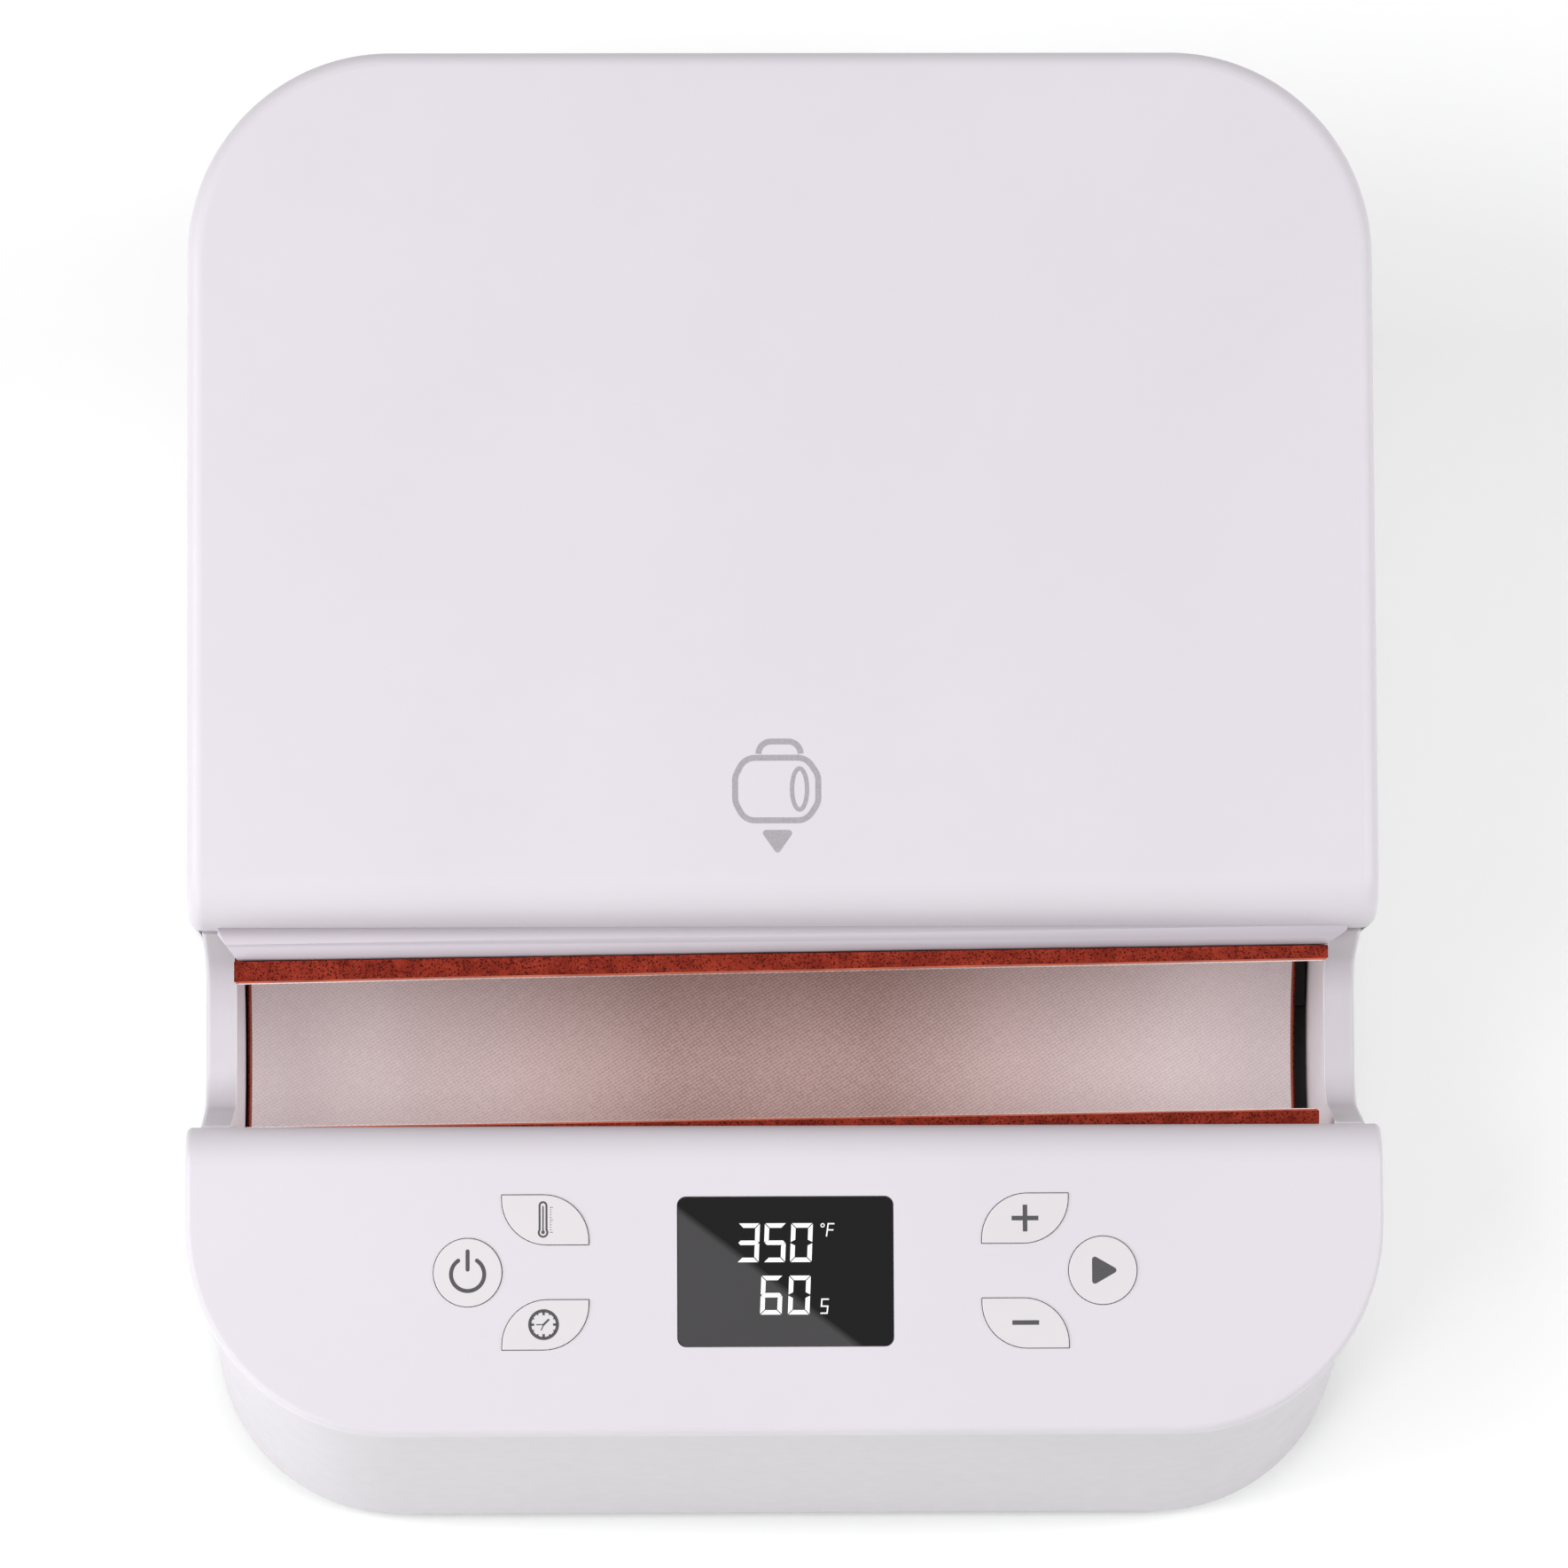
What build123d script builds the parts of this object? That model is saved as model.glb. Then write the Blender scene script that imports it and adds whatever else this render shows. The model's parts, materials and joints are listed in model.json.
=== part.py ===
# Tumbler heat press: a sloped-top bench press with a wrap-round heating pad and a sliding hood.
#
# Millimetres. +X is to the right seen from the front, +Y to the back, +Z up. The origin is on the
# table, under the middle of the covers. Most of the machine is laid out along its sloping top face,
# so two distances recur: a "run" is measured up the slope, backwards from the middle of the machine,
# and a "drop" is measured square to the slope, below the top face.

from build123d import *

import os
from math import cos, pi, radians, sin, sqrt

# Driving dimensions of the casing
width = 300.0  # across both covers
run_length = 350.0  # top face, front edge to back edge, measured up the slope
front_height = 116.0  # top face above the table, at the front edge
slope = 12.0  # tilt of the top face, degrees
corner_radius = 51.0  # of the covers, seen from above
overhang = 3.2  # covers past the base, all round
cover_wall = 2.5
panel_rim = 4.0  # depth of the control cover's thin edge
panel_edge = 1.5  # rounding of the control cover's crisp edge
panel_roll = 10.0  # radius of the control cover's back edge, where it rolls into the chamber
panel_tuck = 2.4  # how much of the pad's front lip the rolled edge hides
hood_depth = 60.0  # how far the hood's walls reach down, square to the slope
hood_edge = 4.0  # rounding round the hood's top
hood_lip = 13.0  # radius of the hood's front edge
boss_radius = 4.0
base_wall = 3.0
rim_round = 1.2  # rounding of the end walls' rims
plate_thickness = 3.0  # bottom plate
plate_inset = 1.0  # bottom plate inside the base's outline
foot_height = 5.0
foot_radius = 9.0
foot_inset = 42.0  # foot centre from the base's sides
foot_round = 1.0
foot_screw_recess = 0.5
column_radius = 5.0  # screw columns inside the base
column_height = 14.0
column_pitch = 125.0

# Driving dimensions of the pressing chamber
tumbler_diameter = 80.0  # largest straight cup that the pad wraps
chamber_setback = 97.7  # chamber axis behind the covers' front edge
chamber_drop = 54.0
mouth = 36.2  # between the pad's two lips when the hood is shut
lip_curl = 9.5  # radius with which the pad turns up into each lip
lip_drop = 11.2  # top edge of the lips
fabric_thickness = 0.5
heater_thickness = 0.8
foam_thickness = 3.4
pad_end_gap = 1.5  # between the pad's ends and the cheeks
cradle_gap = 0.3  # round the pad
seat_gap = 0.05  # between the moving cradle and the ribs that hold it
cradle_thickness = 2.0
cheek_thickness = 4.8
cheek_margin = 3.0  # cheeks past the cradles
end_dip = 42.0  # how deep the end walls dip between the covers
dip_curl = 10.0  # rounding of the dip's bottom
dip_lead = 7.5  # run over which the dip's sides slope
side_drop = 18.5  # top edge of the base's walls under the hood
bar_drop = 12.0  # top of the front clamp bar
bar_length = 12.0
clamp_inset = 29.0  # outer clamp screws inside the cheeks
inner_clamp = 40.0
flange_length = 12.0
rear_cradle_start = 15.0  # the moving cradle's lower edge, behind the chamber's axis
sensor_radius = 3.0
cutout_setback = 45.8  # thermal cutout behind the chamber's axis
cutout_reach = 60.0
cutout_radius = 7.0
cutout_height = 6.0
cutout_rim = 2.0
sensor_rim = 1.5
sensor_height = 4.0
nose = 5.9  # retainer bar in front of the hood's lip
nose_drop = 9.6
nose_round = 3.0
retainer_gap = 1.4  # between the retainer's ends and the base's walls
retainer_chamfer = 5.0
retainer_shelf = 4.0

# Driving dimensions of the sliding gear
hood_travel = 58.0
fixing_spacing = 94.0  # between the two rows of screws that hold the hood
fixing_inset = 15.0  # outer screws inside the carriage's edges
inner_fixing = 50.0
back_fixing = 70.0
running_gap = 0.5
carriage_thickness = 3.0
carriage_gap = 18.8  # between the carriage and the base's walls
carriage_overhang = 2.5  # behind the bushing housings
housing_reach = 12.0  # half-width of the bushing housings
housing_setback = 122.3  # bushing housings behind the chamber's axis
rod_radius = 4.0
rod_inset = 25.0  # rods inside the carriage's edges
rod_drop = 40.0
bushing_wall = 3.5
bushing_length = 17.0
bushing_spacing = 9.0
bushing_clearance = 0.1
bracket_thickness = 6.0
front_bracket_gap = 5.3  # between the front brackets and the bushing housings
back_bracket_gap = 1.7  # between the back brackets and the base's back wall
rod_recess = 1.5  # rod ends inside the brackets' outer faces
screw_radius = 4.0
screw_drop = 60.0
screw_end = 4.0  # screw in front of its front bearing
nut_setback = 2.5  # nut block behind the fronts of the bushing housings
nut_gap = 2.5  # between the nut and the front bearing
nut_length = 15.0
bearing_wall = 4.0
bearing_length = 5.0
gear_gap = 5.0  # between the gears and the base's back wall
gear_setback = 9.0  # gears behind the front of the drive's plate
gear_width = 5.0
gear_stub = 2.0  # shafts past the gears
gear_module = 1.0
gear_teeth = 50
pinion_teeth = 18
gear_backlash = 0.35
tooth_rise = 0.9  # above the pitch circle, in modules
tooth_depth = 1.25  # below it
motor_radius = 15.0
motor_length = 56.0
motor_shaft_radius = 2.5
shaft_seat = 10.0
shaft_clearance = 0.3
nut_clearance = 0.3  # stands for the depth of the screw's thread

# Driving dimensions of the control panel, read along the slope
panel_setback = 40.0  # middle of the panel behind the covers' front edge
display_length = 54.2
display_height = 37.7
display_corner = 2.3
lens_thickness = 1.5
lens_recess = 0.2
lens_ledge = 2.1
round_button_radius = 8.7
round_button_reach = 79.4  # from the middle of the panel
leaf_length = 22.0
leaf_height = 12.8
leaf_corner = 11.5
leaf_reach = 60.0
leaf_offset = 13.1  # either side of the panel's middle line
button_gap = 0.2
button_proud = 0.5
button_travel = 0.7
stem_clearance = 0.1  # between a fully pressed button's stem and its switch
button_flange = 1.0
stem_radius = 2.0
board_drop = 11.0
board_thickness = 1.6
board_reach = 92.0
board_half_height = 19.0
board_screw_reach = 40.0
board_screw_offset = 15.5
switch_size = 6.0
switch_height = 3.5
plunger_radius = 1.7
plunger_height = 0.9

# Driving dimensions of the small parts
vent_length = 30.0
vent_width = 3.0
rib_reach = 60.0
rib_thickness = 4.0
rib_setback = 65.8  # back of the ribs behind the chamber's axis
rib_bottom = 76.0
nut_radius = 5.1
nut_flange = 3.5
bracket_reach = 8.0
drive_margin = 5.0
drive_foot = 12.0
leg_half = 3.0  # half-thickness of the uprights
foot_plate = 3.0
socket_hole = 1.7
screw_shank = 1.5
screw_clearance = 0.1  # round each screw's shank, before its thread bites
screw_head = 2.8
head_height = 2.0
socket_width = 27.0  # appliance inlet, IEC 60320 C14 size
socket_height = 19.8
socket_depth = 22.0
socket_wall = 1.6
socket_gap = 0.2
socket_flange_width = 50.0
socket_flange_height = 22.5
socket_flange_thickness = 2.0
socket_hole_spacing = 40.0
socket_reach = -55.0
socket_level = 36.0
power_board_length = 120.0
power_board_x = -10.0
board_front_gap = 5.2  # behind the front screw block's foot
board_back_gap = 5.7  # in front of the inlet's pins
standoff_height = 8.0
standoff_inset = 5.0
transformer_size = (34.0, 28.0, 24.0)
transformer_x = -31.0  # the three from the middle of the board
relay_size = (16.0, 20.0, 16.0)
relay_x = 4.0
relay_y = -2.0
capacitor_radius = 8.0
capacitor_height = 20.0
capacitor_x = 34.0
capacitor_y = -4.0
buzzer_radius = 6.0
buzzer_height = 5.0
buzzer_offset = 6.0
travel_switch_width = 6.5
travel_switch_height = 20.0
travel_button = 1.2
travel_button_height = 2.0
pin_width = 2.0
pin_height = 4.0
pin_spacing = 7.0
pin_offset = 2.0
pin_stub = 6.0  # behind the inlet
pin_recess = 4.0

# The sloping frame of reference
tilt = radians(slope)
half_width = width / 2
plan_depth = run_length * cos(tilt)
top_middle = front_height + run_length / 2 * sin(tilt)
floor = foot_height + plate_thickness
far = run_length
deck = Plane(origin=(0, 0, top_middle), x_dir=(1, 0, 0), z_dir=(0, -sin(tilt), cos(tilt)))
section = Plane(origin=(0, 0, top_middle), x_dir=(0, cos(tilt), sin(tilt)), z_dir=(1, 0, 0))
up_slope = Axis(deck.origin, section.x_dir)
off_slope = Axis(deck.origin, deck.z_dir)

# Places worked out from the driving dimensions
chamber_run = chamber_setback - run_length / 2
panel_middle = panel_setback - run_length / 2
bore = tumbler_diameter / 2
pad_thickness = fabric_thickness + heater_thickness + foam_thickness
cradle_bore = bore + pad_thickness + cradle_gap
cradle_radius = cradle_bore + cradle_thickness
curl_reach = mouth / 2 + lip_curl  # from the chamber's axis to a curl's axis, along the slope
curl_rise = sqrt((bore + lip_curl) ** 2 - curl_reach**2)  # the same, square to the slope
curl_drop = chamber_drop - curl_rise
bar_curl = lip_curl - pad_thickness - cradle_gap  # corner of each bar that the pad turns round
bar_bottom = curl_drop + bar_curl
flange_bottom = bar_bottom + cradle_thickness
carriage_bottom = flange_bottom + carriage_thickness
front_bar_face = chamber_run - curl_reach + bar_curl
nose_face = chamber_run + curl_reach - bar_curl
hood_front = nose_face + nose
panel_back = front_bar_face + panel_tuck
fixing_run = hood_front + hood_lip  # front row of screws between the hood and its carriage
back_fixing_run = fixing_run + fixing_spacing
seat_back = fixing_run + 2 * boss_radius
shelf_drop = bar_bottom - retainer_shelf  # where the hood's front bosses stand on the retainer
chamber_bottom = chamber_drop + cradle_bore
floor_back = chamber_run + rear_cradle_start + hood_travel + cheek_margin
cheek_back = chamber_run + cradle_radius + hood_travel + cheek_margin
base_half = half_width - overhang
base_inner = base_half - base_wall
cheek_face = base_inner - cheek_thickness
pad_length = 2 * (cheek_face - pad_end_gap)
retainer_reach = base_inner - retainer_gap
carriage_reach = base_inner - carriage_gap
rod_reach = carriage_reach - rod_inset
clamp_reach = cheek_face - clamp_inset
outer_fixing = carriage_reach - fixing_inset
base_depth = plan_depth - 2 * overhang
back_wall = base_depth / 2
roll_band = panel_roll + cover_wall
board_bottom = board_drop + board_thickness
bushing_radius = rod_radius + bushing_wall
housing_front = chamber_run + housing_setback
housing_back = housing_front + 2 * bushing_length + bushing_spacing
carriage_back = housing_back + carriage_overhang
housing_place = housing_front * cos(tilt) + rod_drop * sin(tilt)
front_bracket = housing_place - bracket_thickness - front_bracket_gap
back_bracket = back_wall - base_wall - bracket_thickness - back_bracket_gap
bearing_radius = screw_radius + bearing_wall
nut_front = housing_front + nut_setback
nut_back = nut_front + nut_length
screw_bearing = nut_front - nut_flange - nut_gap - bearing_length
screw_front = screw_bearing - screw_end
gear_bottom = screw_drop + gear_module * (gear_teeth / 2 + tooth_rise)
gear_back = (back_wall - base_wall - gear_gap - gear_bottom * sin(tilt)) / cos(tilt)
gear_front = gear_back - gear_width
drive_plate = gear_front - gear_setback
motor_reach = gear_module * (gear_teeth + pinion_teeth) / 2
front_seat = front_bar_face - flange_length
clamp_run = front_bar_face - bar_length + boss_radius
clamp_screws_at = (-clamp_reach, -inner_clamp, inner_clamp, clamp_reach)
cheek_bottom = chamber_bottom + cradle_thickness + cheek_margin
column_reach = base_inner - column_radius + 1.5
carriage_front = chamber_run + sqrt(cradle_radius**2 - (chamber_drop - carriage_bottom) ** 2) + 1


def place(x, run, drop):
    """Point in the machine's own axes."""
    return deck.from_local_coords(Vector(x, run, -drop))


def facing_back(run):
    """Plane square to the slope at one run, with x across and y down."""
    return Plane(origin=place(0, run, 0), x_dir=(1, 0, 0), z_dir=section.x_dir)


def slab(x, run, drop, mode=Mode.ADD):
    """Block between two x values, two runs and two drops."""
    with BuildSketch(section.offset(x[0])) as outline:
        with Locations((sum(run) / 2, -sum(drop) / 2)):
            Rectangle(run[1] - run[0], drop[1] - drop[0])
    extrude(outline.sketch, amount=x[1] - x[0], mode=mode)


def block(x, y, z, mode=Mode.ADD):
    """Upright block between two values on each of the machine's axes."""
    with BuildSketch(Plane.XY.offset(z[0])) as outline:
        with Locations((sum(x) / 2, sum(y) / 2)):
            Rectangle(x[1] - x[0], y[1] - y[0])
    extrude(outline.sketch, amount=z[1] - z[0], mode=mode)


def post(x, y, z, radius, mode=Mode.ADD):
    """Upright cylinder between two heights."""
    with BuildSketch(Plane.XY.offset(z[0])) as disc:
        with Locations((x, y)):
            Circle(radius)
    extrude(disc.sketch, amount=z[1] - z[0], mode=mode)


def shaft(x, drop, run, radius, mode=Mode.ADD):
    """Cylinder that runs up the slope."""
    with BuildSketch(facing_back(run[0])) as disc:
        with Locations((x, drop)):
            Circle(radius)
    extrude(disc.sketch, amount=run[1] - run[0], mode=mode)


def peg(x, run, drop, radius, mode=Mode.ADD):
    """Cylinder square to the slope, between two drops."""
    with BuildSketch(deck.offset(-drop[1])) as disc:
        with Locations((x, run)):
            Circle(radius)
    extrude(disc.sketch, amount=drop[1] - drop[0], mode=mode)


def casing_block(inset, drop, run):
    """The covers' outline shrunk by an inset, between two drops and two runs."""
    with BuildPart() as body:
        with BuildSketch():
            RectangleRounded(width - 2 * inset, plan_depth - 2 * inset, corner_radius - inset)
        extrude(amount=2 * top_middle)
        slab((-width, width), run, drop, mode=Mode.INTERSECT)
    return body.part


def clear_above_walls():
    """Cut away what stands above the base's walls, with the dip at each end of the chamber."""
    dip_front = panel_back + running_gap
    dip_back = hood_front - running_gap
    with BuildSketch(section) as region:
        with BuildLine():
            Polyline(
                (-far, -cover_wall),
                (panel_back - roll_band, -cover_wall),
                (panel_back - roll_band, -lip_drop),
                (dip_front, -lip_drop),
                (dip_front + dip_lead, -end_dip),
                (dip_back - dip_lead, -end_dip),
                (dip_back, -side_drop),
                (far, -side_drop),
                (far, far),
                (-far, far),
                close=True,
            )
        make_face()
        fillet([v for v in region.vertices() if abs(v.Y + end_dip) < 0.1], dip_curl)
    extrude(region.sketch, amount=width, both=True, mode=Mode.SUBTRACT)


def hand_in(piece, name):
    """Label one finished piece and write it."""
    piece.part.label = name
    export_step(piece.part, f"parts/{name}.step")


os.makedirs("parts", exist_ok=True)

# Control cover: a thin sloping lid whose back edge rolls down into the chamber
button_centres = {
    "power": (-round_button_reach, panel_middle),
    "start": (round_button_reach, panel_middle),
    "temperature": (-leaf_reach, panel_middle + leaf_offset),
    "timer": (-leaf_reach, panel_middle - leaf_offset),
    "plus": (leaf_reach, panel_middle + leaf_offset),
    "minus": (leaf_reach, panel_middle - leaf_offset),
}


def button_face(name, growth, drop):
    """One button's outline, grown all round, on a plane below the top face."""
    x, run = button_centres[name]
    lean = -1 if x * (run - panel_middle) < 0 else 1
    with BuildSketch(deck.offset(-drop)) as outline:
        with Locations((x, run)):
            if name in ("power", "start"):
                Circle(round_button_radius + growth)
            else:
                Rectangle(leaf_length, leaf_height)
        if name not in ("power", "start"):
            corners = outline.vertices().sort_by(lambda v: v.X - lean * v.Y)
            fillet([corners[0], corners[-1]], leaf_corner)
        if name not in ("power", "start") and growth:
            offset(amount=growth, kind=Kind.INTERSECTION)
    return outline.sketch


def display_face(margin, drop):
    """The display window's outline, shrunk by a margin, on a plane below the top face."""
    with BuildSketch(deck.offset(-drop)) as outline:
        with Locations((0, panel_middle)):
            RectangleRounded(display_length - 2 * margin, display_height - 2 * margin, display_corner)
    return outline.sketch


board_screws_at = [
    (x, panel_middle + offset_run)
    for x in (-board_screw_reach, board_screw_reach)
    for offset_run in (-board_screw_offset, board_screw_offset)
]
lens_bottom = lens_recess + lens_thickness

with BuildPart() as panel_hollow:
    add(casing_block(cover_wall, (cover_wall, far), (-far, panel_back - cover_wall)))
    ceiling = panel_hollow.faces().sort_by(off_slope)[-1]
    fillet(ceiling.edges().sort_by(up_slope)[-1], panel_roll - cover_wall)

with BuildPart() as control_cover:
    add(casing_block(0, (0, panel_roll), (-far, panel_back)))
    top = control_cover.faces().sort_by(off_slope)[-1]
    fillet(top.edges().sort_by(up_slope)[-1], 0.999 * panel_roll)
    top = control_cover.faces().sort_by(off_slope)[-1]
    fillet(top.edges().sort_by(up_slope)[:-1], panel_edge)
    slab((-width, width), (-far, panel_back - roll_band), (panel_rim, far), mode=Mode.SUBTRACT)
    add(panel_hollow.part, mode=Mode.SUBTRACT)
    for x, run in board_screws_at:
        peg(x, run, (cover_wall, board_drop), boss_radius - 1)
        peg(x, run, (cover_wall + 1, board_drop), screw_shank + screw_clearance, mode=Mode.SUBTRACT)
    for name in button_centres:
        extrude(button_face(name, 0, cover_wall), amount=cover_wall, mode=Mode.SUBTRACT)
    extrude(display_face(0, lens_bottom), amount=lens_bottom, mode=Mode.SUBTRACT)
    extrude(display_face(lens_ledge, cover_wall), amount=cover_wall, mode=Mode.SUBTRACT)
hand_in(control_cover, "control_cover")

with BuildPart() as display_lens:
    extrude(display_face(button_gap, lens_bottom), amount=lens_thickness)
hand_in(display_lens, "display_lens")

# Buttons: a cap in its hole, a flange that stops it under the cover, and a stem over its switch
switch_top = board_drop - switch_height - plunger_height
stem_bottom = switch_top - button_travel - stem_clearance
for name in button_centres:
    x, run = button_centres[name]
    with BuildPart() as button:
        extrude(button_face(name, -button_gap, cover_wall), amount=cover_wall + button_proud)
        extrude(button_face(name, button_flange, cover_wall + button_flange), amount=button_flange)
        peg(x, run, (cover_wall, stem_bottom), stem_radius)
        cap = button.faces().sort_by(off_slope)[-1]
        fillet(cap.edges(), button_proud / 2)
    hand_in(button, f"{name}_button")

# Control board behind the panel, with its switches, display and buzzer
with BuildPart() as control_board:
    run = (panel_middle - board_half_height, panel_middle + board_half_height)
    slab((-board_reach, board_reach), run, (board_drop, board_bottom))
    for x, run in board_screws_at:
        peg(x, run, (board_drop, board_bottom), screw_shank + screw_clearance, mode=Mode.SUBTRACT)
hand_in(control_board, "control_board")

with BuildPart() as tact_switches:
    for x, run in button_centres.values():
        half = switch_size / 2
        slab((x - half, x + half), (run - half, run + half), (board_drop - switch_height, board_drop))
        peg(x, run, (switch_top, board_drop), plunger_radius)
hand_in(tact_switches, "tact_switches")

with BuildPart() as display_module:
    half_length = display_length / 2 - lens_ledge
    half_height = display_height / 2 - lens_ledge
    run = (panel_middle - half_height, panel_middle + half_height)
    slab((-half_length, half_length), run, (cover_wall + 0.3, board_drop))
hand_in(display_module, "display_module")

with BuildPart() as buzzer:
    peg(0, panel_middle - buzzer_offset, (board_bottom, board_bottom + buzzer_height), buzzer_radius)
hand_in(buzzer, "buzzer")

with BuildPart() as board_screws:
    for x, run in board_screws_at:
        peg(x, run, (cover_wall + 2, board_bottom), screw_shank)
        peg(x, run, (board_bottom, board_bottom + head_height), screw_head)
hand_in(board_screws, "board_screws")

# Hood: a deep lid with a rolled front lip, on four bosses
fixings = [(x, fixing_run) for x in (-outer_fixing, -inner_fixing, inner_fixing, outer_fixing)]
fixings += [(x, back_fixing_run) for x in (-back_fixing, back_fixing)]

with BuildPart() as hood_hollow:
    add(casing_block(cover_wall, (cover_wall, far), (hood_front + cover_wall, far)))
    ceiling = hood_hollow.faces().sort_by(off_slope)[-1]
    fillet(ceiling.edges().sort_by(up_slope)[0], hood_lip - cover_wall)
    inner_reach = half_width - cover_wall
    slab((-inner_reach, inner_reach), (hood_front - 1, hood_front + hood_lip), (hood_lip, far))

with BuildPart() as hood:
    add(casing_block(0, (0, hood_depth), (hood_front, far)))
    top = hood.faces().sort_by(off_slope)[-1]
    fillet(top.edges().sort_by(up_slope)[0], hood_lip)
    top = hood.faces().sort_by(off_slope)[-1]
    fillet(top.edges().sort_by(up_slope)[1:], hood_edge)
    add(hood_hollow.part, mode=Mode.SUBTRACT)
    for x, run in fixings:
        boss_bottom = shelf_drop if run == fixing_run else flange_bottom
        peg(x, run, (cover_wall, boss_bottom), boss_radius)
        peg(x, run, (cover_wall + 2, boss_bottom), screw_shank + screw_clearance, mode=Mode.SUBTRACT)
hand_in(hood, "hood")

# Retainer bar under the hood's lip
with BuildPart() as pad_retainer:
    with BuildSketch(section.offset(-retainer_reach)) as profile:
        with BuildLine():
            Polyline(
                (nose_face, -nose_drop),
                (hood_front - running_gap, -nose_drop),
                (hood_front - running_gap, -shelf_drop),
                (seat_back, -shelf_drop),
                (seat_back, -bar_bottom),
                (nose_face, -bar_bottom),
                close=True,
            )
        make_face()
        nose_low, nose_high = profile.vertices().group_by(Axis.X)[0].sort_by(Axis.Y)
        fillet(nose_low, bar_curl)
        nose_high = profile.vertices().group_by(Axis.X)[0].sort_by(Axis.Y)[-1]
        fillet(nose_high, nose_round)
    extrude(amount=2 * retainer_reach)
    with BuildSketch(deck.offset(-far)) as ends:
        for side in (-1, 1):
            corner = side * retainer_reach
            with BuildLine():
                Polyline(
                    (corner - side * retainer_chamfer, nose_face),
                    (corner, nose_face - retainer_chamfer),
                    (corner + side * retainer_chamfer, nose_face + 2 * retainer_chamfer),
                    close=True,
                )
            make_face()
    extrude(ends.sketch, amount=2 * far, mode=Mode.SUBTRACT)
    for x, run in fixings:
        peg(x, run, (0, far), screw_shank + screw_clearance, mode=Mode.SUBTRACT)
hand_in(pad_retainer, "pad_retainer")

# Front clamp bar in front of the pad's fixed lip
with BuildPart() as front_clamp_bar:
    with BuildSketch(section.offset(-cheek_face)) as profile:
        with Locations((front_bar_face - bar_length / 2, -(bar_drop + bar_bottom) / 2)):
            Rectangle(bar_length, bar_bottom - bar_drop)
        fillet(profile.vertices().group_by(Axis.X)[-1].sort_by(Axis.Y)[0], bar_curl)
    extrude(amount=2 * cheek_face)
    for x in clamp_screws_at:
        peg(x, clamp_run, (0, far), screw_shank + screw_clearance, mode=Mode.SUBTRACT)
hand_in(front_clamp_bar, "front_clamp_bar")

# Cradles: rigid troughs behind the pad, one fixed and one on the carriage
cradle_centre = (chamber_run, -chamber_drop)
with BuildPart() as front_cradle:
    with BuildSketch(section.offset(-cheek_face)) as profile:
        with Locations(cradle_centre):
            Circle(cradle_radius)
        with Locations((front_seat, -(bar_bottom + flange_bottom) / 2)):
            Rectangle(chamber_run - front_seat, cradle_thickness, align=(Align.MIN, Align.CENTER))
        with Locations((chamber_run, -chamber_bottom - cradle_thickness / 2)):
            Rectangle(floor_back - chamber_run, cradle_thickness, align=(Align.MIN, Align.CENTER))
        with Locations(cradle_centre):
            Circle(cradle_bore, mode=Mode.SUBTRACT)
        with Locations((chamber_run, -bar_bottom)):
            Rectangle(far, far, align=(Align.CENTER, Align.MIN), mode=Mode.SUBTRACT)
        with Locations((chamber_run, -chamber_bottom)):
            Rectangle(far, far, align=(Align.MIN, Align.MIN), mode=Mode.SUBTRACT)
    extrude(amount=2 * cheek_face)
    for x in clamp_screws_at:
        peg(x, clamp_run, (0, far / 10), screw_shank + screw_clearance, mode=Mode.SUBTRACT)
    peg(0, chamber_run, (chamber_drop, far), sensor_radius + screw_clearance, mode=Mode.SUBTRACT)
hand_in(front_cradle, "front_cradle")

with BuildPart() as rear_cradle:
    cradle_reach = cheek_face - running_gap
    with BuildSketch(section.offset(-cradle_reach)) as profile:
        with Locations(cradle_centre):
            Circle(cradle_radius)
        with Locations((chamber_run, -(bar_bottom + flange_bottom) / 2)):
            Rectangle(seat_back - chamber_run, cradle_thickness, align=(Align.MIN, Align.CENTER))
        with Locations(cradle_centre):
            Circle(cradle_bore, mode=Mode.SUBTRACT)
        with Locations((chamber_run, -bar_bottom)):
            Rectangle(far, far, align=(Align.CENTER, Align.MIN), mode=Mode.SUBTRACT)
        with Locations((chamber_run + rear_cradle_start, -bar_bottom)):
            Rectangle(far, far, align=(Align.MAX, Align.CENTER), mode=Mode.SUBTRACT)
        with Locations((chamber_run, running_gap - chamber_bottom)):
            Rectangle(far, far, align=(Align.CENTER, Align.MAX), mode=Mode.SUBTRACT)
    extrude(amount=2 * cradle_reach)
    for x, run in fixings:
        peg(x, run, (0, far / 10), screw_shank + screw_clearance, mode=Mode.SUBTRACT)
hand_in(rear_cradle, "rear_cradle")


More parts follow.
